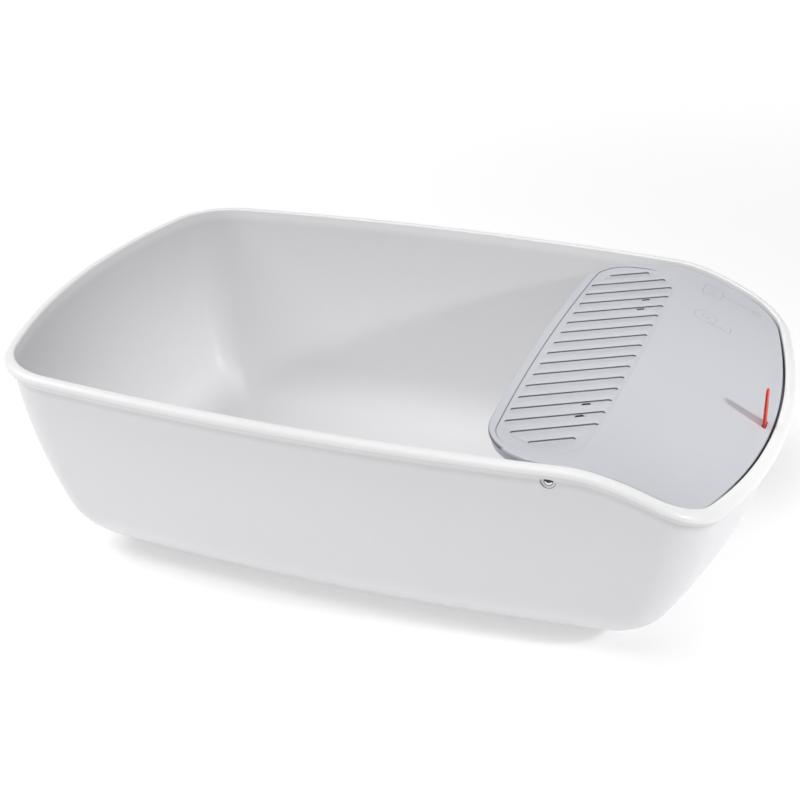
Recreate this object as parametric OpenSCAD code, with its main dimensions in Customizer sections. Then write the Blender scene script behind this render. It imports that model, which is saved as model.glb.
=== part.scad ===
// Open litter tub with a hinged, treaded deck over a storage bay.
// X runs along the tub with the bay at +X, Y runs across with the front wall at -Y,
// and Z points up from the surface that the rubber feet stand on.

/* [Tub] */
// Length over the lip
tub_l = 640; // [620:10:680]
// Width over the lip
tub_w = 430; // [410:10:470]
// Height of the lip above the underside of the tub
tub_h = 190; // [180:5:210]
// Thickness of the walls and the floor
wall = 3.2; // [2.8:0.2:4]
// Width of the rolled lip
lip_w = 9.4; // [8:0.2:11]
// Height from the widest place of the lip to its top
lip_rise = 5; // [4:0.5:7]
// Height over which the lip falls back to the wall
lip_fall = 8; // [7:1:14]
// Radius of the lip's inner edge
lip_edge_r = 2; // [1.2:0.2:3]
// Radius in plan of the long sides
side_r = 1986; // [1600:2:2600]
// Radius in plan of the bay end
bay_end_r = 562; // [480:2:700]
// Radius in plan of the far end
far_end_r = 528; // [450:2:700]
// Corner radius in plan at the bay end
bay_corner_r = 41; // [36:1:50]
// Corner radius in plan at the far end
far_corner_r = 58; // [45:1:65]
// Corner radius in plan where the wall meets the floor
base_corner_r = 20; // [14:1:26]
// How far a long side leans in from lip to floor
side_lean = 52; // [42:1:58]
// How far the bay end leans in from lip to floor
bay_lean = 64; // [54:1:70]
// How far the far end leans in from lip to floor
far_lean = 55; // [45:1:65]
// Radius between the walls and the floor
bilge_r = 46; // [36:1:50]

/* [Dip of the rim] */
// Distance from the hinge line to where the rim starts to dip
dip_lead = 9; // [4:1:14]
// Height of the whole S curve that the rim follows down
dip_depth = 51.5; // [40:0.5:60]
// Length of the whole S curve
dip_run = 172; // [160:1:190]

/* [Hinge] */
// Distance from the bay end's lip to the hinge line
hinge_inset = 144; // [140:1:150]
// Height of the hinge line below the lip
hinge_drop = 15.5; // [14.5:0.5:17]
// Diameter of the hinge rod
rod_d = 7; // [6:0.2:7.6]
// How far the rod's ends stand back from the bushes' outer ends
rod_recess = 1; // [0.6:0.2:2.4]
// Chamfer on the rod's ends
rod_chamfer = 0.8; // [0.4:0.2:1.4]
// Outer diameter of the bushes in the side walls
bush_d = 11.4; // [10.4:0.2:12.4]
// Diameter of the collar inside the wall
bush_collar_d = 15; // [14:0.5:17]
// Thickness of that collar
bush_collar_t = 1.6; // [1.2:0.2:2]
// Thickness of the retaining rings on the rod
ring_t = 1; // [0.8:0.1:1.4]
// Outer diameter of the retaining rings
ring_d = 13; // [12:0.5:14]

/* [Deck] */
// Length of the deck from the hinge line to its free edge over the litter
flap_l = 65.5; // [58:0.5:72]
// Radius in plan of the two corners over the litter
deck_corner_r = 60; // [54:1:62]
// Radius in plan of the bowed free edge and of the tread's bowed long sides
edge_bow_r = 2300; // [2000:50:3000]
// How far the deck's top lies below the lip
deck_drop = 3; // [2:0.5:4]
// Thickness of the deck's skin
deck_skin = 3.2; // [3:0.2:3.6]
// Depth of the deck's edge skirt
skirt_h = 10; // [8:0.5:11]
// Thickness of the skirt and the ribs
skirt_t = 2.4; // [2:0.2:3]
// How far the skirt stands back under the skin
skirt_step = 2.2; // [2:0.2:3]
// Gap between the deck and the long sides
deck_side_gap = 4.6; // [4.6:0.1:6]
// Gap between the deck and the bay end
deck_end_gap = 2.8; // [2.6:0.1:4]
// Width of the ledge that the deck's far edge lies on
ledge_w = 6; // [5:0.5:8]

/* [Tread] */
// Width of the sunk tread, along the tub
tread_w = 82; // [76:1:84]
// Length of the sunk tread, across the tub
tread_l = 360; // [330:2:360]
// Depth of the sunk tread
tread_depth = 1; // [0.6:0.1:1.4]
// Margin between the deck's free edge and the tread
tread_margin = 7.5; // [6:0.5:10]
// Corner radius of the tread
tread_r = 28; // [28:1:36]
// Distance between grooves across the tub
groove_pitch = 20.6; // [18:0.1:24]
// Width of a groove
groove_w = 4.6; // [3.6:0.2:5.4]
// Depth of a groove
groove_depth = 1.2; // [0.6:0.1:1.4]
// Angle of the grooves to the length of the tub
groove_angle = 30; // [20:1:36]
// Length of a snap window, along the tub
window_l = 8; // [6:0.5:10]

/* [Pull loop] */
// Width of the loop at the deck
loop_w = 11.5; // [9:0.5:13]
// Width of the loop at its top
loop_top_w = 8; // [6:0.5:9]
// Height of the loop above the deck
loop_h = 33; // [24:1:38]
// Thickness of the band
band_t = 1.2; // [1:0.1:1.4]
// Distance from the tub's middle line to the loop, towards the front
loop_shift = 10; // [0:1:20]
// Distance from the bay end's lip to the loop
loop_inset = 8.5; // [8:0.5:14]
// Diameter of the anchor pin under the deck
anchor_d = 3.4; // [3:0.2:3.6]
// Length of the anchor pin
anchor_l = 26; // [22:1:32]

/* [Bulkhead] */
// Distance from the hinge line to the bulkhead
bulkhead_gap = 10; // [9.5:0.5:13]
// Thickness of the bulkhead
bulkhead_t = 3; // [2.6:0.2:3.6]
// Width of the flange along the bulkhead's top
flange_w = 5; // [3:1:6]
// Height of the rails that hold the bulkhead to the walls and the floor
rail_h = 5; // [4:0.5:7]
// Thickness of those rails
rail_t = 2; // [1.6:0.2:2.6]

/* [Scoop] */
// Length of the scoop's basket
basket_l = 120; // [100:2:130]
// Width of the basket
basket_w = 104; // [90:2:110]
// Depth of the basket at the handle
basket_h = 34; // [26:1:38]
// Wall of the scoop
scoop_t = 2.2; // [1.8:0.2:2.8]
// Width of a sifting slot
slot_w = 6; // [4:0.5:7]
// Distance between sifting slots
slot_pitch = 9.4; // [8.4:0.2:11]
// Length of the handle
handle_l = 140; // [120:5:150]
// Width of the handle
handle_w = 24; // [20:1:28]
// Thickness of the handle
handle_t = 10; // [8:0.5:12]
// Length of the soft grip
grip_l = 78; // [60:2:90]
// Thickness of the soft grip
grip_t = 1.8; // [1.2:0.2:2.4]
// Height of the scoop's lower edge above the floor
scoop_z = 36; // [35:1:38]

/* [Bag roll] */
// Outer diameter of the roll of bags
roll_d = 40; // [34:1:42]
// Length of the roll
roll_l = 104; // [90:2:110]
// Thickness of the card core
core_t = 1.6; // [1.2:0.1:2]
// Diameter of the spindle
spindle_d = 16; // [13:0.5:17]
// Height of the spindle above the floor
spindle_z = 58; // [56:1:60]
// Distance from the bulkhead to the spindle
spindle_reach = 58; // [56:1:60]
// Distance from the middle line to the middle of the roll
roll_y = 44; // [42:1:46]

/* [Small parts] */
// Thickness of brackets, clip and shelf
bracket_t = 2.6; // [2.2:0.2:3.2]
// Diameter of a screw's shank
screw_d = 3; // [2.6:0.2:3.4]
// Diameter of a screw's head
screw_head_d = 6; // [5:0.5:7]
// Diameter of a rubber foot
foot_d = 22; // [18:1:28]
// How far a foot stands out under the floor
foot_out = 1; // [0.8:0.1:1.4]
// Distance between the feet along the tub
feet_l = 320; // [280:10:330]
// Distance between the feet across the tub
feet_w = 150; // [120:10:160]

/* [Hidden] */

$fn = 48;
// Colours of the mouldings and the small parts
white_pp = [0.93, 0.93, 0.94];
grey_pp = [0.77, 0.79, 0.81];
signal_red = [0.80, 0.22, 0.20];
rubber_grey = [0.25, 0.25, 0.27];
steel = [0.70, 0.71, 0.73];
card_brown = [0.66, 0.53, 0.39];
film_green = [0.55, 0.72, 0.62];

// Clearances: pieces that seat, pieces that turn, and pieces that must swing past
seat_gap = 0.3;
run_gap = 0.06;
swing_gap = 1;
// How far a cutting shape passes the face that it cuts
over = 1;
// How deep a feature is sunk into what it stands on
weld = 0.5;

// Places along the tub of the hinge line, the start of the dip and the deck's free edge
hinge_x = tub_l / 2 - hinge_inset;
dip_start = hinge_x + dip_lead;
deck_edge_x = hinge_x - flap_l;
// Half sizes at the lip's inner edge
in_l = tub_l / 2 - lip_w;
in_w = tub_w / 2 - lip_w;
// Share of each lean that comes as a curve, at the ends and at the sides
end_bow = 0.9;
side_bow = 0.3;
// Share of the height that the bilge radius takes
bilge_share = bilge_r / tub_h;
// Segments of a half outline: end, corner, dipping side, level side
end_n = 5;
corner_n = 7;
dip_n = 8;
level_n = 7;
// Share of the side arc, from corner to middle, that gets the closer points
dip_share = 0.45;
// Steps up the bilge, the wall and the lip
bilge_n = 6;
wall_n = 5;
lip_n = 5;
edge_n = 3;

function smooth(t) = let(c = min(1, max(0, t))) c * c * (3 - 2 * c);
function mix(a, b, t) = a + (b - a) * t;
function arc(c, r, a0, a1, n, first) =
    [for (i = [first:n]) c + r * [cos(mix(a0, a1, i / n)), sin(mix(a0, a1, i / n))]];
function bearing(v) = atan2(v.y, v.x);

// Height of the lip's top above the tub's underside at a place along the tub
function rim_z(x) = tub_h - dip_depth * smooth((x - dip_start) / dip_run);

// Centre of the fillet between the side arc and an end arc; hand is 1 at the bay, -1 at the far end
function fillet_centre(side_c, side_arm, end_c, end_arm, hand) =
    let(v = end_c - side_c, d = norm(v))
    let(a = (side_arm * side_arm - end_arm * end_arm + d * d) / (2 * d))
    let(h = sqrt(side_arm * side_arm - a * a))
    side_c + a * v / d + hand * h * [v.y, -v.x] / d;

// Mirror a half outline (y >= 0, from the bay round to the far end) into a closed one
function closed(half) =
    concat(half, [for (i = [len(half) - 2:-1:1]) [half[i].x, -half[i].y]]);

// Closed outline of the tub at share u of its depth, off outside the inner face and fil inside it
function outline(u, off, fil) =
    let(ends = (1 - end_bow) * u + end_bow * u * u)
    let(sides = (1 - side_bow) * u + side_bow * u * u)
    let(bay_in = bay_lean * ends + fil, far_in = far_lean * ends + fil, side_in = side_lean * sides + fil)
    let(rs = side_r + off - side_in, rb = bay_end_r + off - bay_in, rf = far_end_r + off - far_in)
    let(cb = mix(bay_corner_r, base_corner_r, u) + off, cf = mix(far_corner_r, base_corner_r, u) + off)
    let(s = [0, in_w + off - side_in - rs])
    let(b = [in_l + off - bay_in - rb, 0], f = [-in_l - off + far_in + rf, 0])
    let(pb = fillet_centre(s, rs - cb, b, rb - cb, 1), pf = fillet_centre(s, rs - cf, f, rf - cf, -1))
    let(a1 = bearing(pb - b), a2 = bearing(pb - s), a4 = bearing(pf - s), a5 = bearing(pf - f))
    let(a3 = mix(a2, 90, dip_share))
    closed(concat(
        arc(b, rb, 0, a1, end_n, 0),
        arc(pb, cb, a1, a2, corner_n, 1),
        arc(s, rs, a2, a3, dip_n, 1),
        arc(s, rs, a3, a4, level_n, 1),
        arc(pf, cf, a4, a5, corner_n, 1),
        arc(f, rf, a5, 180, end_n, 1)));

// Ring of the tub's surface at share u of its depth
function deep_ring(u, off, fil, lift) =
    [for (p = outline(u, off, fil)) [p.x, p.y, foot_out + rim_z(p.x) * (1 - u) + lift]];
// Ring at a fixed depth below the lip
function lip_ring(depth, off, u = 0) =
    [for (p = outline(u, off, 0)) [p.x, p.y, foot_out + rim_z(p.x) - depth]];
// Ring at a fixed depth that stands in by ledge_w, but only round the bay's end
function ledge_ring(depth) =
    let(p = outline(depth / tub_h, 0, 0), q = outline(depth / tub_h, -ledge_w, 0))
    [for (i = [0:len(p) - 1])
        let(m = mix(p[i], q[i], smooth((p[i].x - ledge_x) / ledge_blend)))
        [m.x, m.y, foot_out + rim_z(m.x) - depth]];

// The ledge under the deck's far edge
ledge_depth = deck_drop + skirt_h + seat_gap;
ledge_t = 3;
ledge_fall = 0.2;
ledge_foot = 7;
ledge_blend = 24;
ledge_x = hinge_x + 54;

// Shares of depth of the wall's rings, from the lip to the bilge
wall_top_u = 0.17;
wall_shares = [for (i = [0:wall_n]) mix(wall_top_u, 1 - bilge_share, i / wall_n)];

outer_rings = concat(
    [for (i = [bilge_n:-1:1])
        let(a = 90 * i / bilge_n)
        deep_ring(1 - bilge_share * (1 - sin(a)), wall, bilge_r * (1 - cos(a)), 0)],
    [for (i = [wall_n:-1:0]) deep_ring(wall_shares[i], wall, 0, 0)],
    [for (i = [lip_n:-1:0])
        let(depth = lip_rise + lip_fall * i / lip_n, s = smooth(i / lip_n))
        lip_ring(depth, mix(lip_w, wall, s), s * depth / tub_h)],
    [for (i = [1:lip_n])
        let(a = 90 * i / lip_n)
        lip_ring(lip_rise * (1 - sin(a)), mix(lip_edge_r + 1, lip_w, cos(a)))]);
edge_rings = [for (i = [0:edge_n])
    let(a = 90 * i / edge_n)
    lip_ring(lip_edge_r * (1 - cos(a)), lip_edge_r * (1 - sin(a)))];
// Share of depth, extra lean and lift of the inner face, down to the floor, at a gap inside it
function inner_steps(gap) = concat(
    [for (i = [0:wall_n]) [wall_shares[i], 0, 0]],
    [for (i = [1:bilge_n])
        let(a = 90 * i / bilge_n, r = bilge_r - wall)
        [1 - bilge_share * (1 - sin(a)), r * (1 - cos(a)), (wall + gap) * sin(a)]]);
inner_rings = [for (s = inner_steps(0)) deep_ring(s[0], 0, s[1], s[2])];
function face_ring(depth) = lip_ring(depth, 0, depth / tub_h);
ledge_rings = [
    face_ring(ledge_depth),
    ledge_ring(ledge_depth + ledge_fall),
    ledge_ring(ledge_depth + ledge_t),
    face_ring(ledge_depth + ledge_t + ledge_foot)];

// Half width of the tub at a place along it and a share of its depth
function side_y(x, u, off, fil) =
    let(side_in = side_lean * ((1 - side_bow) * u + side_bow * u * u) + fil)
    let(rs = side_r + off - side_in)
    in_w + off - side_in - rs + sqrt(rs * rs - x * x);
// Cross-section of the inner face at +Y, from the wall's top share down to the floor
function wall_section(x, gap) =
    [for (s = inner_steps(gap))
        [side_y(x, s[0], -gap, s[1]), foot_out + rim_z(x) * (1 - s[0]) + s[2]]];
function flip(pts) = [for (i = [len(pts) - 1:-1:0]) [-pts[i].x, pts[i].y]];

// Solid through a list of closed rings, flat at both ends
module loft(rings) {
    n = len(rings[0]);
    last = len(rings) - 1;
    sides = [for (k = [0:last - 1], i = [0:n - 1])
        let(j = (i + 1) % n)
        [k * n + i, (k + 1) * n + i, (k + 1) * n + j, k * n + j]];
    polyhedron(
        points = [for (r = rings) each r],
        faces = concat(
            [[for (i = [0:n - 1]) i]],
            [for (q = sides) [q[0], q[1], q[2]]],
            [for (q = sides) [q[0], q[2], q[3]]],
            [[for (i = [n - 1:-1:0]) last * n + i]]));
}

// Plate of thickness t from x on, drawn in the plane across the tub
module slab(x, t) {
    translate([x, 0, 0]) rotate([90, 0, 90]) linear_extrude(height = t) children();
}

// A cylinder along Y from y0 to y1
module rod_y(d, x, z, y0, y1) {
    translate([x, y0, z]) rotate([-90, 0, 0]) cylinder(d = d, h = y1 - y0);
}

// ---- Tub ----

hinge_z = foot_out + tub_h - hinge_drop;
// Place of the side wall's inner face at a drop below the hinge line
function hinge_wall(drop) = side_y(hinge_x, (hinge_drop + drop) / tub_h, 0, 0);
foot_pocket = 1.2;
feet_x = -2;

module feet_places() {
    for (x = [-1, 1], y = [-1, 1])
        translate([feet_x + x * feet_l / 2, y * feet_w / 2, 0]) children();
}

// Rail that follows the walls and the floor beside the bulkhead
module rail(x) {
    root = wall_section(x, -wall / 2);
    crest = wall_section(x, rail_h);
    turned = [for (i = [len(crest) - 1:-1:0]) crest[i]];
    slab(x, rail_t) polygon(concat(root, flip(root), [for (p = crest) [-p.x, p.y]], turned));
}

module tub() {
    color(white_pp)
    difference() {
        union() {
            loft(concat(outer_rings, edge_rings, ledge_rings, inner_rings));
            rail(bulkhead_x - seat_gap - rail_t);
            rail(bay_x + seat_gap);
        }
        rod_y(bush_d, hinge_x, hinge_z, -tub_w / 2, -in_w / 2);
        rod_y(bush_d, hinge_x, hinge_z, in_w / 2, tub_w / 2);
        feet_places() cylinder(d = foot_d + 2 * run_gap, h = foot_out + foot_pocket);
    }
}

module rubber_feet() {
    color(rubber_grey)
    feet_places() {
        cylinder(d1 = foot_d - 2 * foot_out, d2 = foot_d, h = foot_out);
        translate([0, 0, foot_out]) cylinder(d = foot_d, h = foot_pocket);
    }
}

// ---- Hinge ----

bush_out_y = hinge_wall(0) + wall;
bush_collar_y = hinge_wall(bush_collar_d / 2) - run_gap;
bush_in_y = bush_collar_y - bush_collar_t;

// Bush in the side wall at +Y: a sleeve through the wall with a collar inside it
module bush() {
    color(white_pp)
    difference() {
        union() {
            rod_y(bush_d - 2 * run_gap, hinge_x, hinge_z, bush_in_y, bush_out_y);
            rod_y(bush_collar_d, hinge_x, hinge_z, bush_in_y, bush_collar_y);
        }
        rod_y(rod_d + 2 * run_gap, hinge_x, hinge_z, bush_in_y - over, bush_out_y + over);
    }
}
module rear_bush() { bush(); }
module front_bush() { mirror([0, 1, 0]) bush(); }

rod_end_y = bush_out_y - rod_recess;
ring_groove = 0.6;
ring_y = bush_in_y - seat_gap;

// Half of the rod's profile, from the middle of its end face to the groove's inner corner
function rod_half() =
    let(r = rod_d / 2, core = rod_d / 2 - ring_groove)
    let(mid = ring_y - ring_t / 2, side = ring_t / 2 + run_gap)
    [[0, rod_end_y], [r - rod_chamfer, rod_end_y], [r, rod_end_y - rod_chamfer],
     [r, mid + side], [core, mid + side], [core, mid - side], [r, mid - side]];

module hinge_rod() {
    near = rod_half();
    far = [for (i = [len(near) - 1:-1:0]) [near[i].x, -near[i].y]];
    color(steel)
    translate([hinge_x, 0, hinge_z]) rotate([-90, 0, 0])
    rotate_extrude() polygon(concat(near, far));
}

// Spring-steel rings, open below, that snap into the rod's grooves
module retaining_rings() {
    throat = rod_d - 2 * ring_groove;
    color(steel)
    for (s = [-1, 1])
        translate([hinge_x, s * (ring_y - ring_t / 2), hinge_z])
        rotate([90, 0, 0])
        difference() {
            cylinder(d = ring_d, h = ring_t, center = true);
            cylinder(d = throat + 2 * run_gap, h = ring_t + over, center = true);
            translate([-throat / 2, -ring_d, -over]) cube([throat, ring_d, 2 * over]);
        }
}

// ---- Deck ----

deck_z = foot_out + tub_h - deck_drop;
deck_end_x = in_l - deck_end_gap;
tread_x0 = deck_edge_x + tread_margin;
tread_x1 = tread_x0 + tread_w;
tread_z = deck_z - tread_depth;
deck_side_n = 10;
deck_edge_n = 5;
deck_dip_n = 14;

// Closed outline of the deck, drawn in by an inset
function deck_outline(inset) =
    let(w = in_w - deck_side_gap - inset, e = deck_end_x - inset)
    let(rs = side_r - deck_side_gap - inset, re = bay_end_r - deck_end_gap - inset)
    let(rc = bay_corner_r - deck_end_gap - inset, rl = deck_corner_r - inset, rf = edge_bow_r - inset)
    let(s = [0, w - rs], c = [e - re, 0], f = [deck_edge_x + edge_bow_r, 0])
    let(p = fillet_centre(s, rs - rc, c, re - rc, 1), q = fillet_centre(s, rs - rl, f, rf - rl, -1))
    let(a1 = bearing(p - c), a2 = bearing(p - s), a3 = bearing(q - s), a4 = bearing(q - f))
    closed(concat(
        arc(c, re, 0, a1, end_n, 0),
        arc(p, rc, a1, a2, corner_n, 1),
        arc(s, rs, a2, a3, deck_side_n, 1),
        arc(q, rl, a3, a4, corner_n, 1),
        arc(f, rf, a4, 180, deck_edge_n, 1)));

// Places along the tub where the deck's side profile has a point
deck_xs = concat([deck_edge_x - over], [for (i = [0:deck_dip_n]) mix(dip_start, in_l, i / deck_dip_n)]);
function deck_top(x) = foot_out + rim_z(x) - deck_drop;

// Everything between two depths below the deck's curved top
module deck_band(from, to) {
    rotate([90, 0, 0])
    linear_extrude(height = tub_w, center = true)
    polygon(concat(
        [for (x = deck_xs) [x, deck_top(x) - from]],
        [for (i = [len(deck_xs) - 1:-1:0]) [deck_xs[i], deck_top(deck_xs[i]) - to]]));
}
module deck_prism(inset) {
    linear_extrude(height = foot_out + tub_h + over) polygon(deck_outline(inset));
}

// Rounded rectangle whose two long sides are bowed
function tablet(x0, x1, y, r, bow) =
    let(dy = y - r, reach = sqrt((bow - r) * (bow - r) - dy * dy))
    let(right = [x1 - bow + reach, dy], left = [x0 + bow - reach, dy])
    let(a = atan2(dy, reach))
    closed(concat(
        arc([x1 - bow, 0], bow, 0, a, deck_edge_n, 0),
        arc(right, r, a, 90, corner_n, 1),
        arc(left, r, 90, 180 - a, corner_n, 0),
        arc([x0 + bow, 0], bow, 180 - a, 180, deck_edge_n, 1)));

// The grooves end on an inner tablet, drawn in from the tread's edge
groove_rim = 6.5;
groove_end_rim = 10;
groove_x0 = tread_x0 + groove_rim;
groove_x1 = tread_x1 - groove_rim;
groove_y = tread_l / 2 - groove_end_rim;
// Corner radii of the inner tablet: two across the grooves' run, two along it
groove_r_across = 36;
groove_r_along = 48;
tread_mid = (tread_x0 + tread_x1) / 2;
groove_last = floor(groove_y / groove_pitch);
window_rows = [-6, -5, 4, 5];
window_w = groove_w - 1;

// Place across the tub of groove j's middle line at x
function groove_line(j, x) =
    groove_pitch * j + (x - tread_mid) * tan(groove_angle);
// Whether a point lies on the inner tablet
function on_tablet(x, y) =
    let(r = (x - tread_mid) * y > 0 ? groove_r_across : groove_r_along)
    let(dx = max(0, abs(x - tread_mid) - (groove_x1 - groove_x0) / 2 + r))
    let(dy = max(0, abs(y) - groove_y + r))
    abs(y) <= groove_y && dx * dx + dy * dy <= r * r;
function groove_run(j) = [for (x = [groove_x0:0.5:groove_x1]) if (on_tablet(x, groove_line(j, x))) x];

module groove(j) {
    run = groove_run(j);
    if (len(run) > 2 * groove_w)
        translate([run[0], groove_line(j, run[0]), tread_z - groove_depth])
        rotate([0, 0, groove_angle])
        linear_extrude(height = over + groove_depth)
        stadium((run[len(run) - 1] - run[0]) / cos(groove_angle), groove_w);
}

// A slot with round ends that starts at the origin and runs along X
module stadium(l, w) {
    translate([w / 2, -w / 2]) square([l - w, w]);
    translate([w / 2, 0]) circle(d = w, $fn = 24);
    translate([l - w / 2, 0]) circle(d = w, $fn = 24);
}

// Snap saddle that clips the deck onto the rod
saddle_w = 8;
saddle_arm = 3.2;
saddle_hook = 4.2;
mouth_share = 0.86;

module saddle(y) {
    w = rod_d + 2 * saddle_arm;
    translate([hinge_x - w / 2, y - saddle_w / 2, hinge_z - saddle_hook])
        cube([w, saddle_w, deck_z - deck_skin + weld - hinge_z + saddle_hook]);
}
module saddle_bores() {
    rod_y(rod_d + 2 * run_gap, hinge_x, hinge_z, -rod_end_y, rod_end_y);
    translate([hinge_x - mouth_share * rod_d / 2, -rod_end_y, hinge_z - saddle_hook - over])
        cube([mouth_share * rod_d, 2 * rod_end_y, saddle_hook + over]);
}

// Where the skirt is notched to swing round the bush's collar and the retaining ring
notch_y = bush_in_y - 2 * ring_t - seat_gap;

// Loop slot and the hooks that hold the anchor pin under it
loop_x = in_l - loop_inset;
loop_y = -loop_shift;
loop_z = deck_top(loop_x);
band_eye = 0.4;
loop_t = 2 * band_t + band_eye;
slot_t = loop_t + 2 * seat_gap;
anchor_z = loop_z - deck_skin - anchor_d / 2 - band_t - 2 * seat_gap;
anchor_mouth = 0.84;
hook_t = 2;
hook_wall = 2;
// Bearing on the pin at which the band's two plies leave it for the slot
flare_from = 35;
// Reach of the band's lower loop from the pin's middle
band_reach = anchor_d / 2 + band_t + 2 * seat_gap;

module anchor_hook(side) {
    y = loop_y + side * (anchor_l / 2 - hook_t);
    translate([loop_x - anchor_d / 2 - hook_wall, y - hook_t / 2, anchor_z - anchor_d / 2])
        cube([anchor_d + 2 * hook_wall, hook_t, loop_z - deck_skin / 2 - anchor_z + anchor_d / 2]);
}

deck_rib_y = [-150, -60, 60, 150];
deck_rib_x = [hinge_x - 26, hinge_x + 24, hinge_x + 66];
rib_step = 1;
module deck_ribs() {
    intersection() {
        deck_band(deck_skin / 2, skirt_h - rib_step);
        deck_prism(skirt_step + skirt_t / 2);
        union() {
            for (y = deck_rib_y)
                translate([deck_edge_x, y - skirt_t / 2, 0]) cube([tub_l / 2, skirt_t, 2 * tub_h]);
            for (x = deck_rib_x)
                translate([x, -tub_w / 2, 0]) cube([skirt_t, tub_w, 2 * tub_h]);
        }
    }
}

module deck() {
    color(grey_pp)
    difference() {
        union() {
            intersection() {
                deck_band(0, deck_skin);
                deck_prism(0);
            }
            difference() {
                intersection() {
                    deck_band(deck_skin / 2, skirt_h);
                    deck_prism(skirt_step);
                }
                deck_prism(skirt_step + skirt_t);
            }
            deck_ribs();
            for (j = window_rows) saddle(groove_line(j, hinge_x));
            for (s = [-1, 1]) anchor_hook(s);
        }
        saddle_bores();
        for (s = [-1, 1])
            rod_y(bush_collar_d + 2 * swing_gap, hinge_x, hinge_z,
                min(s * notch_y, s * tub_w / 2), max(s * notch_y, s * tub_w / 2));
        translate([0, 0, tread_z])
            linear_extrude(height = over + tread_depth)
            polygon(tablet(tread_x0, tread_x1, tread_l / 2, tread_r, edge_bow_r));
        for (j = [-groove_last:groove_last]) groove(j);
        for (j = window_rows)
            translate([hinge_x - window_l / 2, groove_line(j, hinge_x) - window_w / 2, hinge_z])
            cube([window_l, window_w, deck_z + over - hinge_z]);
        translate([loop_x - slot_t / 2, loop_y - loop_w / 2 - seat_gap, loop_z - 4 * deck_skin])
            cube([slot_t, loop_w + 2 * seat_gap, 6 * deck_skin]);
        rod_y(anchor_d + 2 * run_gap, loop_x, anchor_z, loop_y - anchor_l / 2, loop_y + anchor_l / 2);
        translate([loop_x - anchor_mouth * anchor_d / 2, loop_y - anchor_l / 2, anchor_z - anchor_d])
            cube([anchor_mouth * anchor_d, anchor_l, anchor_d]);
        translate([loop_x, loop_y - loop_w / 2 - seat_gap, loop_z - 2 * skirt_h])
            cube([band_reach, loop_w + 2 * seat_gap, 2 * skirt_h - deck_skin - weld]);
    }
}

module loop_anchor() {
    color(steel) rod_y(anchor_d, loop_x, anchor_z, loop_y - anchor_l / 2, loop_y + anchor_l / 2);
}

// Side view of the band: round the pin below, up through the slot and folded over at the top
module band_profile(grow) {
    r0 = anchor_d / 2 + seat_gap + grow;
    r1 = loop_t / 2 - band_t + grow;
    top = loop_z + loop_h - loop_t / 2;
    neck = loop_z - deck_skin - weld;
    translate([loop_x, anchor_z]) circle(r = r0, $fn = 12);
    translate([loop_x, top]) circle(r = r1, $fn = 12);
    translate([loop_x - r1, anchor_z]) square([2 * r1, top - anchor_z]);
    polygon([
        [loop_x - r0 * cos(flare_from), anchor_z], [loop_x + r0 * cos(flare_from), anchor_z],
        [loop_x + r0 * cos(flare_from), anchor_z + r0 * sin(flare_from) / 2],
        [loop_x + r1, neck], [loop_x - r1, neck],
        [loop_x - r0 * cos(flare_from), anchor_z + r0 * sin(flare_from) / 2]]);
}
module pull_loop() {
    color(signal_red)
    intersection() {
        translate([0, loop_y, 0])
            rotate([90, 0, 0])
            linear_extrude(height = loop_w, center = true)
            difference() {
                band_profile(band_t);
                band_profile(0);
            }
        translate([loop_x, loop_y, 0])
            rotate([90, 0, 90])
            linear_extrude(height = 4 * loop_t + anchor_d, center = true) {
                polygon([
                    [-loop_w / 2, anchor_z - anchor_d], [loop_w / 2, anchor_z - anchor_d],
                    [loop_w / 2, loop_z], [loop_top_w / 2, loop_z + loop_h - loop_top_w / 2],
                    [-loop_top_w / 2, loop_z + loop_h - loop_top_w / 2], [-loop_w / 2, loop_z]]);
                translate([0, loop_z + loop_h - loop_top_w / 2]) circle(d = loop_top_w);
            }
    }
}

// ---- Bulkhead ----

bulkhead_x = hinge_x + bulkhead_gap;
bulkhead_top = deck_z - deck_skin - skirt_h + seat_gap;
bay_x = bulkhead_x + bulkhead_t;

module bulkhead() {
    top_u = 1 - (bulkhead_top - foot_out) / tub_h;
    edge = concat([[side_y(bay_x, top_u, -seat_gap, 0), bulkhead_top]], wall_section(bay_x, seat_gap));
    flange_y = side_y(bay_x + flange_w, top_u + bulkhead_t / tub_h, -seat_gap, 0);
    color(white_pp)
    difference() {
        union() {
            slab(bulkhead_x, bulkhead_t) polygon(concat(edge, flip(edge)));
            translate([bulkhead_x, -flange_y, bulkhead_top - bulkhead_t])
                cube([bulkhead_t + flange_w, 2 * flange_y, bulkhead_t]);
        }
        for (p = screw_places)
            translate([bulkhead_x - over, p.x, p.y])
            rotate([0, 90, 0])
            cylinder(d = screw_d + 2 * run_gap, h = bulkhead_t + 2 * over, $fn = 24);
    }
}

// ---- Scoop ----
// Drawn lying down: length along X, width along Y, depth up; then stood against the bulkhead.

scoop_x = bay_x + seat_gap;
scoop_front = -148;
slot_count = floor((basket_w - 4 * scoop_t - slot_w) / slot_pitch);
slot_margin = 12;
handle_y = basket_w / 2;
handle_z = basket_h - handle_t;
basket_r = 26;
// Share of the basket's length over which its sides rise from the lip
rise_share = 0.9;
gusset_l = 30;

module stood() {
    translate([scoop_x, scoop_front, foot_out + scoop_z])
        multmatrix([[0, 0, 1, 0], [1, 0, 0, 0], [0, 1, 0, 0], [0, 0, 0, 1]])
        children();
}
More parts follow.
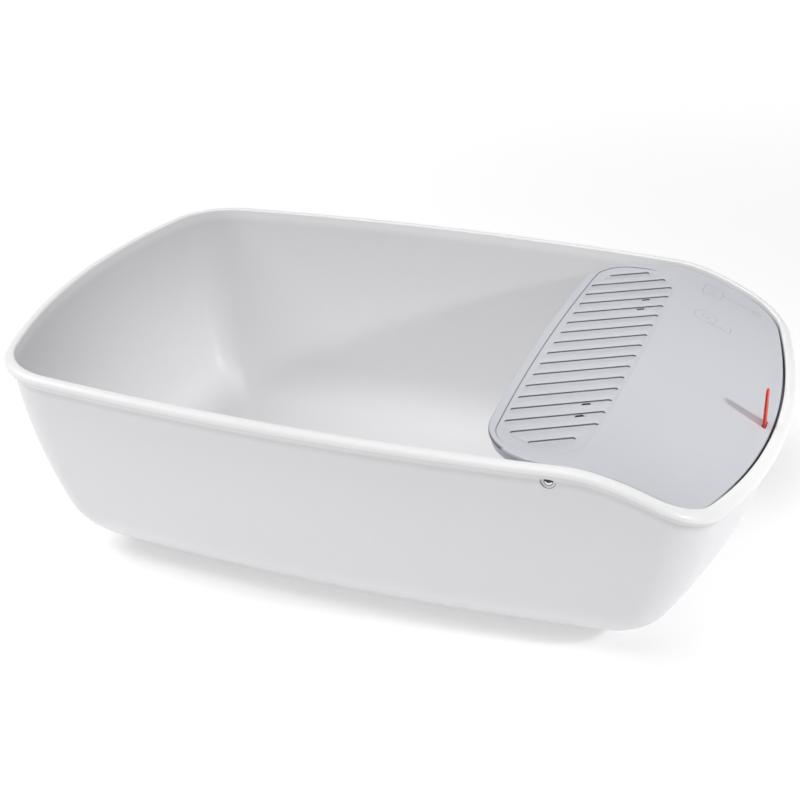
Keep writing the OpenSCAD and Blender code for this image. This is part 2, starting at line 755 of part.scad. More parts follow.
// Basket outline: square at the lip, round at the handle
module basket_outline(inset) {
    flat = basket_l - basket_r;
    translate([inset, inset]) square([flat - inset, basket_w - 2 * inset]);
    translate([flat, basket_r]) square([basket_r - inset, basket_w - 2 * basket_r]);
    for (y = [basket_r, basket_w - basket_r]) translate([flat, y]) circle(r = basket_r - inset);
}
module basket() {
    rise_l = basket_l * rise_share;
    difference() {
        linear_extrude(height = basket_h) basket_outline(0);
        translate([0, 0, scoop_t])
            linear_extrude(height = basket_h) basket_outline(scoop_t);
        translate([-over, scoop_t, scoop_t])
            cube([basket_l / 2, basket_w - 2 * scoop_t, basket_h]);
        translate([0, -over, scoop_t])
            rotate([90, 0, 0])
            mirror([0, 0, 1])
            linear_extrude(height = basket_w + 2 * over)
            polygon([[-over, 0], [rise_l, basket_h - scoop_t], [rise_l, basket_h], [-over, basket_h]]);
        for (i = [-slot_count / 2:slot_count / 2])
            translate([slot_margin, basket_w / 2 + i * slot_pitch, -over])
            linear_extrude(height = scoop_t + 2 * over)
            stadium(basket_l - slot_margin - basket_r + slot_w, slot_w);
    }
}
module scoop() {
    color(grey_pp)
    stood() {
        basket();
        translate([basket_l - scoop_t, handle_y - handle_w / 2, handle_z])
            cube([handle_l - handle_w / 2 + scoop_t, handle_w, handle_t]);
        translate([basket_l + handle_l - handle_w / 2, handle_y, handle_z])
            cylinder(d = handle_w, h = handle_t);
        for (y = [-1, 1])
            translate([basket_l - scoop_t, handle_y + y * (handle_w / 2 - scoop_t / 2), 0])
            rotate([90, 0, 0])
            linear_extrude(height = scoop_t, center = true)
            polygon([[0, scoop_t], [0, handle_z + weld], [gusset_l, handle_z + weld]]);
    }
}

grip_x = basket_l + handle_l - handle_w / 2 - grip_l;
grip_pitch = 8;
grip_groove_r = 0.9;

module scoop_grip() {
    color(rubber_grey)
    stood()
    difference() {
        translate([grip_x, handle_y - handle_w / 2 - grip_t, handle_z - grip_t])
            cube([grip_l, handle_w + 2 * grip_t, handle_t + 2 * grip_t]);
        translate([grip_x - over, handle_y - handle_w / 2, handle_z])
            cube([grip_l + 2 * over, handle_w, handle_t]);
        for (i = [1:floor(grip_l / grip_pitch) - 1], s = [-1, 1])
            translate([grip_x + grip_pitch * i, handle_y + s * (handle_w / 2 + grip_t), handle_z])
            cylinder(r = grip_groove_r, h = 4 * handle_t, center = true, $fn = 16);
    }
}

// ---- What holds the scoop ----

shelf_l = 0.6 * basket_l;
shelf_w = basket_h + 2 * seat_gap;
shelf_lip = 9;
shelf_y = scoop_front + 0.2 * basket_l;
shelf_z = foot_out + scoop_z - seat_gap;
shelf_leg = 16;

module scoop_shelf() {
    color(white_pp)
    difference() {
        translate([bay_x, shelf_y, 0])
        rotate([90, 0, 0])
        mirror([0, 0, 1])
        linear_extrude(height = shelf_l)
        polygon([
            [0, shelf_z - shelf_leg], [bracket_t, shelf_z - shelf_leg], [bracket_t, shelf_z - bracket_t],
            [shelf_w + bracket_t, shelf_z - bracket_t], [shelf_w + bracket_t, shelf_z + shelf_lip],
            [shelf_w, shelf_z + shelf_lip], [shelf_w, shelf_z], [0, shelf_z]]);
        for (p = shelf_screws) screw_hole(p);
    }
}

clip_l = 12;
clip_y = scoop_front + basket_l + gusset_l + clip_l / 3;
clip_depth = 12;
clip_leg = 14;
clip_z = foot_out + scoop_z + handle_y - handle_w / 2 - seat_gap;
handle_far = basket_h + 2 * seat_gap;

// U-shaped cradle, open upwards, that the handle drops into
module handle_clip() {
    color(white_pp)
    difference() {
        translate([bay_x, clip_y, 0])
        rotate([90, 0, 0])
        mirror([0, 0, 1])
        linear_extrude(height = clip_l)
        polygon([
            [0, clip_z - clip_leg], [bracket_t, clip_z - clip_leg], [bracket_t, clip_z - bracket_t],
            [handle_far + bracket_t, clip_z - bracket_t], [handle_far + bracket_t, clip_z + clip_depth],
            [handle_far, clip_z + clip_depth], [handle_far, clip_z], [0, clip_z]]);
        for (p = clip_screws) screw_hole(p);
    }
}

// ---- Bag roll and its holder ----

spindle_x = bay_x + spindle_reach;
spindle_h = foot_out + spindle_z;
roll_y0 = roll_y - roll_l / 2;
roll_y1 = roll_y + roll_l / 2;
bracket_gap = 1;
bracket_w = 24;
bracket_leg = 14;
spindle_cap_t = 2;
spindle_cap_d = spindle_d + 5;
spindle_snap_d = spindle_d + 1.2;
spindle_core_d = spindle_d - 5;

module bracket(y, s) {
    near = min(y, y + s * bracket_t);
    color(white_pp)
    difference() {
        union() {
            translate([bay_x, near, spindle_h - bracket_w / 2])
                cube([spindle_reach, bracket_t, bracket_w]);
            rod_y(bracket_w, spindle_x, spindle_h, near, near + bracket_t);
            translate([bay_x, min(y, y + s * bracket_leg), spindle_h - bracket_w / 2])
                cube([bracket_t, bracket_leg, bracket_w]);
        }
        rod_y(spindle_d + 2 * run_gap, spindle_x, spindle_h, y - bracket_leg, y + bracket_leg);
        for (p = roll_screws(y, s)) screw_hole(p);
    }
}
module front_bracket() { bracket(roll_y0 - bracket_gap, -1); }
module rear_bracket() { bracket(roll_y1 + bracket_gap, 1); }

module roll_spindle() {
    y0 = roll_y0 - bracket_gap - bracket_t - seat_gap;
    y1 = roll_y1 + bracket_gap + bracket_t + seat_gap;
    color(grey_pp)
    difference() {
        union() {
            rod_y(spindle_d, spindle_x, spindle_h, y0, y1);
            rod_y(spindle_cap_d, spindle_x, spindle_h, y0 - spindle_cap_t, y0);
            rod_y(spindle_snap_d, spindle_x, spindle_h, y1, y1 + spindle_cap_t);
        }
        rod_y(spindle_core_d, spindle_x, spindle_h, y0 + spindle_cap_t, y1 + spindle_cap_t + over);
    }
}

core_in_d = spindle_d + 2 * run_gap;
core_out_d = core_in_d + 2 * core_t;
module roll_core() {
    color(card_brown)
    difference() {
        rod_y(core_out_d, spindle_x, spindle_h, roll_y0, roll_y1);
        rod_y(core_in_d, spindle_x, spindle_h, roll_y0 - over, roll_y1 + over);
    }
}
module bag_roll() {
    color(film_green)
    difference() {
        rod_y(roll_d, spindle_x, spindle_h, roll_y0 + bracket_gap, roll_y1 - bracket_gap);
        rod_y(core_out_d, spindle_x, spindle_h, roll_y0 - over, roll_y1 + over);
    }
}

// ---- Screws in the bulkhead ----

screw_l = bracket_t + bulkhead_t - weld;
head_t = 1.8;
recess_t = 0.6;
recess_w = 0.8;
shelf_screws = [for (s = [0.2, 0.8]) [shelf_y + s * shelf_l, shelf_z - shelf_leg / 2]];
clip_screws = [[clip_y + clip_l / 2, clip_z - (clip_leg + bracket_t) / 2]];
function roll_screws(y, s) =
    [for (k = [-1, 1]) [y + s * (bracket_t + (bracket_leg - bracket_t) / 2), spindle_h + k * bracket_w / 4]];
screw_places = concat(shelf_screws, clip_screws,
    roll_screws(roll_y0 - bracket_gap, -1), roll_screws(roll_y1 + bracket_gap, 1));

module screw_hole(p) {
    translate([bay_x - over, p.x, p.y])
        rotate([0, 90, 0])
        cylinder(d = screw_d + 2 * run_gap, h = bracket_t + 2 * over, $fn = 24);
}
module bay_screws() {
    color(steel)
    for (p = screw_places)
        translate([bay_x + bracket_t, p.x, p.y])
        rotate([0, 90, 0]) {
            translate([0, 0, -screw_l]) cylinder(d = screw_d, h = screw_l, $fn = 24);
            difference() {
                cylinder(d = screw_head_d, h = head_t);
                for (a = [0, 90])
                    rotate([0, 0, a])
                    translate([0, 0, head_t])
                    cube([screw_head_d * 0.6, recess_w, 2 * recess_t], center = true);
            }
        }
}

tub();
bulkhead();
rubber_feet();
front_bush();
rear_bush();
hinge_rod();
retaining_rings();
deck();
pull_loop();
loop_anchor();
scoop();
scoop_grip();
scoop_shelf();
handle_clip();
front_bracket();
rear_bracket();
roll_spindle();
roll_core();
bag_roll();
bay_screws();
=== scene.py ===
"""Open litter tub with a hinged, treaded deck over a storage bay: the dressed model.

Sizes are in millimetres in the tub's own frame: X runs along the tub with the bay at +X, the front
wall is at -Y and Z points up from the surface that the rubber feet stand on. Meshes are in metres.
"""

import logging
import math
from collections.abc import Callable, Iterable, Sequence
from dataclasses import dataclass
from enum import Enum
from typing import Any, Protocol

import bmesh
import bpy
import numpy as np
from bpy.types import Light, Material, Mesh, NodeSocket, NodeTree, Object
from mathutils import Matrix, Vector


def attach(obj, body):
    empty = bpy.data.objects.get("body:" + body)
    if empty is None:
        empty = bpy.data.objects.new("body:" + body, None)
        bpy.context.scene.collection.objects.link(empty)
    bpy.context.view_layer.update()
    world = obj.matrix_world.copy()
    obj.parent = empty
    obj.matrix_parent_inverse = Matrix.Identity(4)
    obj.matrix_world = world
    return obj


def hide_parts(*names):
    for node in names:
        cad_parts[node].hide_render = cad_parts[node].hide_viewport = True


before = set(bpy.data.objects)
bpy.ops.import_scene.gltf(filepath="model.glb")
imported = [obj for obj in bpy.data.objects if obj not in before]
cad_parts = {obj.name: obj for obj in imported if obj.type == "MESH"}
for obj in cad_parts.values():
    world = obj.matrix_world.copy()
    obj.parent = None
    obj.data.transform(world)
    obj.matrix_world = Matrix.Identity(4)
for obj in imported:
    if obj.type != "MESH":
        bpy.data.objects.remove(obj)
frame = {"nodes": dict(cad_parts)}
log = logging.getLogger("litter_tub")
logging.basicConfig(level=logging.INFO, format="%(message)s")

MM = 0.001
TOUCH = 1e-7
Point = Sequence[float]
Colour = tuple[float, float, float]


def srgb(red: int, green: int, blue: int) -> Colour:
    """Turn a display colour of 0 to 255 into the linear colour that shaders use."""
    parts = (c / 255 for c in (red, green, blue))
    return tuple(c / 12.92 if c <= 0.04045 else ((c + 0.055) / 1.055) ** 2.4 for c in parts)


# ---- Node trees ------------------------------------------------------------------------------


def operator(operation: str, flip: bool = False) -> Callable[["Wire", Any], "Wire"]:
    """Make a method of Wire that adds one Math node, with its two parts swapped if flip is set."""

    def method(self: "Wire", other: Any) -> "Wire":
        """Add the node."""
        return self.net.sum(operation, *((other, self) if flip else (self, other)))

    return method


class Wire:
    """An output socket that Python's operators work on."""

    def __init__(self, net: "Net", socket: NodeSocket) -> None:
        """Wrap one socket of a tree."""
        self.net = net
        self.socket = socket

    __add__, __radd__ = operator("ADD"), operator("ADD", True)
    __sub__, __rsub__ = operator("SUBTRACT"), operator("SUBTRACT", True)
    __mul__, __rmul__ = operator("MULTIPLY"), operator("MULTIPLY", True)
    __truediv__, __rtruediv__ = operator("DIVIDE"), operator("DIVIDE", True)

    def __abs__(self) -> "Wire":
        """Take the size without the sign."""
        return self.net.sum("ABSOLUTE", self)


class Net:
    """Adds nodes to one tree: any node through add, and sums through Wire's operators."""

    def __init__(self, tree: NodeTree) -> None:
        """Start on a tree."""
        self.tree = tree

    def add(self, kind: str, settings: dict | None = None, values: dict | None = None,
            out: int | str = 0) -> Wire:
        """Add one node.

        Args:
            kind: The node's type name.
            settings: Properties of the node, set before its sockets.
            values: Socket name or number to a value or a Wire.
            out: Name or number of the output to return.

        Returns:
            The chosen output.
        """
        node = self.tree.nodes.new(kind)
        for key, value in (settings or {}).items():
            setattr(node, key, value)
        for key, value in (values or {}).items():
            socket = node.inputs[key]
            if isinstance(value, Wire):
                self.tree.links.new(value.socket, socket)
            elif isinstance(value, tuple) and len(value) == 3 and socket.type == "RGBA":
                socket.default_value = (*value, 1.0)
            else:
                socket.default_value = value
        return Wire(self, node.outputs[out])

    def out(self, wire: Wire, name: str) -> Wire:
        """Another output of the node that a wire comes from."""
        return Wire(self, wire.socket.node.outputs[name])

    def sum(self, operation: str, *parts: Any) -> Wire:
        """Add one Math node on numbers or wires."""
        return self.add("ShaderNodeMath", {"operation": operation}, dict(enumerate(parts)))

    def vector(self, operation: str, *parts: Any, out: int = 0) -> Wire:
        """Add one Vector Math node."""
        return self.add("ShaderNodeVectorMath", {"operation": operation}, dict(enumerate(parts)), out)

    def join(self, **parts: Any) -> Wire:
        """Make a vector of X, Y and Z; what isn't given is 0."""
        return self.add("ShaderNodeCombineXYZ", None, parts)

    def ease(self, value: Wire, low: Any, high: Any, top: float = 1.0) -> Wire:
        """Rise smoothly from 0 at low to top at high."""
        return self.add("ShaderNodeMapRange", {"interpolation_type": "SMOOTHSTEP"},
                        {"Value": value, "From Min": low, "From Max": high, "To Max": top})

    def step(self, value: Wire, low: float, high: float) -> Wire:
        """Rise smoothly from 0 at low to 1 at high; low may be the larger of the two."""
        if low > high:
            return 1.0 - self.ease(value, high, low)
        return self.ease(value, low, high)


class Paint(Net):
    """A material's tree, with the nodes that its finishes share."""

    def __init__(self, name: str) -> None:
        """Make an empty material."""
        self.material = bpy.data.materials.new(name)
        self.material.use_nodes = True
        super().__init__(self.material.node_tree)
        self.tree.nodes.clear()
        self.place = self.add("ShaderNodeTexCoord", out="Object")

    def blend(self, factor: Any, a: Any, b: Any, mode: str = "MIX") -> Wire:
        """Mix two colours."""
        return self.add("ShaderNodeMix", {"data_type": "RGBA", "blend_type": mode},
                        {0: factor, 6: a, 7: b}, out=2)

    def tint(self, base: Any, tone: Wire) -> Wire:
        """Multiply a colour by a number."""
        grey = self.add("ShaderNodeCombineColor", None, dict.fromkeys(range(3), tone))
        return self.blend(1.0, base, grey, "MULTIPLY")

    def facing(self) -> Wire:
        """The surface's own normal."""
        return self.add("ShaderNodeNewGeometry", out="Normal")

    def stretch(self, x: float, y: float, z: float) -> Wire:
        """Object coordinates in millimetres, scaled along each axis."""
        return self.vector("MULTIPLY", self.place, (x / MM, y / MM, z / MM))

    def axes(self, wire: Wire | None = None) -> tuple[Wire, Wire, Wire]:
        """X, Y and Z in millimetres."""
        first = self.add("ShaderNodeSeparateXYZ", None, {0: wire or self.stretch(1, 1, 1)})
        return first, self.out(first, "Y"), self.out(first, "Z")

    def noise(self, size: float, detail: float = 2.0, at: Wire | None = None, rough: float = 0.5) -> Wire:
        """Noise from 0 to 1 with lumps of about size millimetres."""
        return self.add("ShaderNodeTexNoise", None, {
            "Vector": at or self.stretch(1, 1, 1), "Scale": 1.0 / size, "Detail": detail,
            "Roughness": rough})

    def root(self, a: Wire, b: Wire) -> Wire:
        """Length of a flat vector."""
        return self.sum("SQRT", a * a + b * b)

    def box(self, x: Wire, y: Wire, w: float, h: float, r: float) -> Wire:
        """Distance outside a rounded box of w by h round the origin, negative inside it."""
        qx, qy = abs(x) - (w / 2 - r), abs(y) - (h / 2 - r)
        outside = self.root(self.sum("MAXIMUM", qx, 0.0), self.sum("MAXIMUM", qy, 0.0))
        return outside + self.sum("MINIMUM", self.sum("MAXIMUM", qx, qy), 0.0) - r

    def bump(self, height: Wire, depth: float, under: Wire | None = None) -> Wire:
        """Raise the surface by height times depth millimetres."""
        values = {"Height": height, "Distance": depth * MM, "Strength": 1.0}
        if under is not None:
            values["Normal"] = under
        return self.add("ShaderNodeBump", None, values)

    def finish(self, **values: Any) -> Material:
        """Close the tree with a Principled shader; underscores in the names stand for spaces."""
        shader = self.add("ShaderNodeBsdfPrincipled", None,
                          {key.replace("_", " "): value for key, value in values.items()})
        node = self.tree.nodes.new("ShaderNodeOutputMaterial")
        self.tree.links.new(shader.socket, node.inputs["Surface"])
        return self.material


class Shaper(Net):
    """A Geometry Nodes tree with named inputs, run on a host mesh to give a plain mesh."""

    def __init__(self, name: str) -> None:
        """Make an empty tree with its geometry sockets."""
        super().__init__(bpy.data.node_groups.new(name, "GeometryNodeTree"))
        face = self.tree.interface
        face.new_socket("Geometry", in_out="INPUT", socket_type="NodeSocketGeometry")
        face.new_socket("Geometry", in_out="OUTPUT", socket_type="NodeSocketGeometry")
        self.entry = self.tree.nodes.new("NodeGroupInput")
        self.values: dict[str, Any] = {}

    @property
    def host(self) -> Wire:
        """The host's own geometry."""
        return Wire(self, self.entry.outputs["Geometry"])

    def want(self, name: str, kind: str, value: Any) -> Wire:
        """Add a named input.

        Args:
            name: The input's name.
            kind: Float, Int, Vector, Object or Material.
            value: What it is set to when the tree runs.

        Returns:
            The input as a wire.
        """
        item = self.tree.interface.new_socket(name, in_out="INPUT", socket_type=f"NodeSocket{kind}")
        self.values[item.identifier] = value
        return Wire(self, self.entry.outputs[name])

    def wants(self, kind: str, **values: Any) -> list[Wire]:
        """Add several named inputs of one kind."""
        return [self.want(name, kind, value) for name, value in values.items()]

    def stored(self, name: str) -> Wire:
        """A number stored on the geometry's points."""
        return self.add("GeometryNodeInputNamedAttribute", {"data_type": "FLOAT"}, {"Name": name})

    def scale(self, vector: Wire, factor: Any) -> Wire:
        """Make a vector longer or shorter."""
        return self.add("ShaderNodeVectorMath", {"operation": "SCALE"}, {0: vector, "Scale": factor})

    def shift(self, shape: Wire, offset: Wire) -> Wire:
        """Move a geometry's points."""
        return self.add("GeometryNodeSetPosition", None, {"Geometry": shape, "Offset": offset})

    def copies(self, points: Wire, part: Wire, turn: Wire) -> Wire:
        """Set a part on every point."""
        return self.add("GeometryNodeInstanceOnPoints", None,
                        {"Points": points, "Instance": part, "Rotation": turn})

    def shape_of(self, item: Wire) -> Wire:
        """The geometry of an object."""
        return self.add("GeometryNodeObjectInfo", None, {"Object": item}, "Geometry")

    def run(self, name: str, last: Wire, material: Material, mesh: Mesh | None = None) -> Object:
        """Close the tree, run it and keep the result.

        Args:
            name: Name of the finished piece.
            last: The geometry that the tree ends with.
            material: The material set on all of it.
            mesh: The host's mesh, empty if none is given.

        Returns:
            A plain mesh object.
        """
        coat = self.want("Material", "Material", material)
        whole = self.add("GeometryNodeRealizeInstances", None, {0: last})
        dressed = self.add("GeometryNodeSetMaterial", None, {"Geometry": whole, "Material": coat})
        end = self.tree.nodes.new("NodeGroupOutput")
        self.tree.links.new(dressed.socket, end.inputs["Geometry"])
        host = link(name, mesh or bpy.data.meshes.new(name))
        modifier = host.modifiers.new("shape", "NODES")
        modifier.node_group = self.tree
        for identifier, value in self.values.items():
            modifier[identifier] = value
        return settle(host)


# ---- Meshes ----------------------------------------------------------------------------------


def link(name: str, mesh: Mesh) -> Object:
    """Put a mesh into the scene as an object at the origin."""
    piece = bpy.data.objects.new(name, mesh)
    bpy.context.scene.collection.objects.link(piece)
    return piece


def settle(piece: Object) -> Object:
    """Replace a piece's mesh by what its modifiers make of it, and remove them."""
    bpy.context.view_layer.update()
    graph = bpy.context.evaluated_depsgraph_get()
    mesh = bpy.data.meshes.new_from_object(piece.evaluated_get(graph), depsgraph=graph)
    piece.modifiers.clear()
    piece.data = mesh
    return piece


def plain(name: str, points: Iterable[Point], faces: Iterable[Sequence[int]] = ()) -> Mesh:
    """Make a mesh from points in millimetres and rows of point numbers."""
    mesh = bpy.data.meshes.new(name)
    mesh.from_pydata([tuple(c * MM for c in p) for p in points], [], list(faces))
    return mesh


def outwards(mesh: Mesh) -> Mesh:
    """Merge doubled points and turn every face outwards."""
    work = bmesh.new()
    work.from_mesh(mesh)
    bmesh.ops.remove_doubles(work, verts=work.verts, dist=TOUCH)
    bmesh.ops.recalc_face_normals(work, faces=work.faces)
    work.to_mesh(mesh)
    work.free()
    return mesh


def raw_skin(name: str, rings: Sequence[Sequence[Point]], loop: bool = False) -> Mesh:
    """Skin through closed rings of the same number of points.

    Args:
        name: The mesh's name.
        rings: The rings, in millimetres.
        loop: Whether the last ring is joined to the first; otherwise both ends are closed flat.

    Returns:
        The closed mesh, its points in the order of the rings.
    """
    n, m = len(rings[0]), len(rings)
    faces = [[k * n + i, (k + 1) % m * n + i, (k + 1) % m * n + (i + 1) % n, k * n + (i + 1) % n]
             for k in range(m if loop else m - 1) for i in range(n)]
    if not loop:
        faces += [list(range(n)), list(range(m * n - 1, (m - 1) * n - 1, -1))]
    return plain(name, [p for ring in rings for p in ring], faces)


def loft(name: str, rings: Sequence[Sequence[Point]], loop: bool = False) -> Mesh:
    """Skin through rings, as raw_skin does, with its faces pointing outwards."""
    return outwards(raw_skin(name, rings, loop))


def lathe(name: str, profile: Sequence[tuple[float, float]], sides: int, axis: str = "Z",
          at: Point = (0, 0, 0), loop: bool = False) -> Mesh:
    """Turn a profile of (radius, height) round an axis through at; loop is as for loft."""
    turns = [2 * math.pi * i / sides for i in range(sides)]
    place = {
        "X": lambda r, h, a: (h, r * math.cos(a), r * math.sin(a)),
        "Y": lambda r, h, a: (r * math.sin(a), h, r * math.cos(a)),
        "Z": lambda r, h, a: (r * math.cos(a), r * math.sin(a), h),
    }[axis]
    rings = [[[c + o for c, o in zip(place(r, h, a), at)] for a in turns] for r, h in profile]
    return loft(name, rings, loop)


def prism(name: str, outline: Sequence[tuple[float, float]], low: float, high: float,
          axis: str = "Z") -> Mesh:
    """Extrude an outline along an axis: (x, y) along Z, (x, z) along Y, (y, z) along X."""
    place = {"X": lambda p, h: (h, *p), "Y": lambda p, h: (p[0], h, p[1]), "Z": lambda p, h: (*p, h)}[axis]
    return loft(name, [[place(p, h) for p in outline] for h in (low, high)])


def block(name: str, low: Point, high: Point) -> Mesh:
    """A box between two corners."""
    (a, b, c), (d, e, f) = low, high
    return prism(name, [(a, b), (d, b), (d, e), (a, e)], c, f)


def together(name: str, meshes: Sequence[Mesh]) -> Mesh:
    """Put several meshes into one."""
    work = bmesh.new()
    for mesh in meshes:
        work.from_mesh(mesh)
    whole = bpy.data.meshes.new(name)
    work.to_mesh(whole)
    work.free()
    return whole


def cut(piece: Object, cutter: Mesh) -> None:
    """Take a closed shape out of a piece."""
    tool = link("cutter", cutter)
    modifier = piece.modifiers.new("cut", "BOOLEAN")
    modifier.object = tool
    modifier.operation = "DIFFERENCE"
    modifier.solver = "EXACT"
    settle(piece)
    bpy.data.objects.remove(tool)


def seat(piece: Object, coat: Material, body: "Body", slot: "Slot", *nodes: str,
         sharp: float = 32.0) -> Object:
    """Finish a piece and hand it to the frame.

    Args:
        piece: The piece.
        coat: Its one material.
        body: The body that it moves with.
        slot: The material slot that the piece stands for; not used.
        nodes: The solids that it stands for.
        sharp: The angle of an edge that stays crisp, in degrees.

    Returns:
        The piece.
    """
    mesh, n = piece.data, len(piece.data.polygons)
    mesh.polygons.foreach_set("use_smooth", [True] * n)
    mesh.set_sharp_from_angle(angle=math.radians(sharp))
    mesh.materials.clear()
    mesh.materials.append(coat)
    mesh.polygons.foreach_set("material_index", [0] * n)
    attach(piece, body.value)
    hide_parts(*nodes)
    log.info("%s: %d faces on %s", piece.name, n, body.value)
    return piece


class Part(Protocol):
    """A piece that makes itself and hands itself to the frame."""

    def build(self) -> Object:
        """Make the piece."""


class Body(Enum):
    """The bodies that the made pieces move with."""

    TUB = "tub_body"
    DECK = "deck_body"
    ROLL = "roll_body"


class Slot(Enum):
    """The record's material slots that the made pieces stand for; seat is given one but does not use it."""

    WHITE = "white_plastic"
    GREY = "grey_plastic"
    BAND = "red_band"
    FOOT = "foot_rubber"
    STEEL = "steel"
    FILM = "bag_film"


# ---- Rules of the form -----------------------------------------------------------------------


def smooth(t: Any) -> Any:
    """The S curve 3t^2 - 2t^3 between 0 and 1."""
    c = np.clip(t, 0.0, 1.0)
    return c * c * (3 - 2 * c)


def mix(a: Any, b: Any, t: Any) -> Any:
    """The value a share t of the way from a to b."""
    return a + (b - a) * t


def arc(centre: Point, radius: float, start: float, end: float, steps: int, first: int = 1) -> list:
    """Points on an arc between two bearings in degrees, from step first on."""
    turns = (math.radians(mix(start, end, i / steps)) for i in range(first, steps + 1))
    return [(centre[0] + radius * math.cos(a), centre[1] + radius * math.sin(a)) for a in turns]


def bearing(start: Point, end: Point) -> float:
    """Bearing in degrees from one point to another."""
    return math.degrees(math.atan2(end[1] - start[1], end[0] - start[0]))


def quarter(steps: int, first: int = 0) -> list[tuple[float, float]]:
    """Sine and cosine at even steps over a quarter turn, from step first on."""
    turns = (math.pi / 2 * i / steps for i in range(first, steps + 1))
    return [(math.sin(a), math.cos(a)) for a in turns]


def turned(reach: float, degrees: Iterable[float]) -> list[tuple[float, float]]:
    """Points at a reach from the origin, on the given bearings."""
    return [(reach * math.cos(a), reach * math.sin(a)) for a in map(math.radians, degrees)]


def closed(half: list) -> list:
    """Mirror a half outline (y >= 0) into a closed one."""
    return half + [(x, -y) for x, y in half[-2:0:-1]]


@dataclass(frozen=True)
class Dip:
    """The S curve that the rim and the deck follow down at the bay end."""

    start: float = 185.0
    depth: float = 51.5
    run: float = 172.0

    def drop(self, x: Any) -> Any:
        """How far the rim has come down at x."""
        return self.depth * smooth((x - self.start) / self.run)

    def bend(self, name: str, straight: Mesh, material: Material) -> Object:
        """Lower a mesh by the curve, each point by its own share.

        Args:
            name: Name of the piece.
            straight: The mesh as it would be under a level rim, with the attribute share.
            material: Its finish.

        Returns:
            The bent piece.
        """
        net = Shaper("follow_the_dip")
        start, run, depth = net.wants(
            "Float", Start=self.start * MM, Run=self.run * MM, Depth=self.depth * MM)
        x = net.add("ShaderNodeSeparateXYZ", None, {0: net.add("GeometryNodeInputPosition")})
        t = net.ease(x, start, start + run)
        down = net.join(Z=t * depth * net.stored("share") * -1.0)
        return net.run(name, net.shift(net.host, down), material, straight)


def set_share(mesh: Mesh, shares: Iterable[float]) -> Mesh:
    """Store each point's share of the dip."""
    layer = mesh.attributes.new("share", "FLOAT", "POINT")
    layer.data.foreach_set("value", np.asarray(list(shares), np.float32))
    return mesh


# ---- Finishes --------------------------------------------------------------------------------

WHITE = (1.0, 1.0, 1.0)
PALE = srgb(250, 250, 250)


@dataclass(frozen=True)
class Moulding:
    """Moulded polypropylene with a fine spark-eroded grain, slight mottling and a few scuffs."""

    name: str
    colour: Colour
    roughness: float = 0.4
    grain: float = 0.6
    relief: float = 0.012
    mottle: float = 0.02
    scuffs: float = 0.02
    glass: float = 1.49

    def start(self) -> tuple[Paint, Wire, Wire, Wire]:
        """Lay down the tree.

        Returns:
            The tree, its colour, its roughness and its normal, for more to be added.
        """
        paint = Paint(self.name)
        cloud = paint.noise(38.0, 2.0) * 0.6 + paint.noise(7.0, 2.0) * 0.4
        scratch = paint.noise(1.6, 3.0, paint.stretch(0.05, 1.0, 1.0), 0.6)
        scuff = paint.step(scratch, 0.68, 0.8) * paint.step(paint.noise(60.0), 0.5, 0.65)
        base = paint.tint(self.colour, 1.0 + (cloud - 0.5) * (2 * self.mottle))
        base = paint.blend(scuff * self.scuffs, base, WHITE)
        rough = self.roughness + (cloud - 0.5) * 0.06 + scuff * (1.5 * self.scuffs)
        pores = paint.add("ShaderNodeTexVoronoi", None, {
            "Vector": paint.stretch(1, 1, 1), "Scale": 1.0 / self.grain, "Randomness": 1.0})
        normal = paint.bump(pores * 0.5 + paint.noise(self.grain * 2.2, 2.0), self.relief)
        return paint, base, rough, normal

    def make(self) -> Material:
        """Build the plain finish."""
        paint, base, rough, normal = self.start()
        return paint.finish(Base_Color=base, Roughness=rough, Normal=normal, IOR=self.glass)


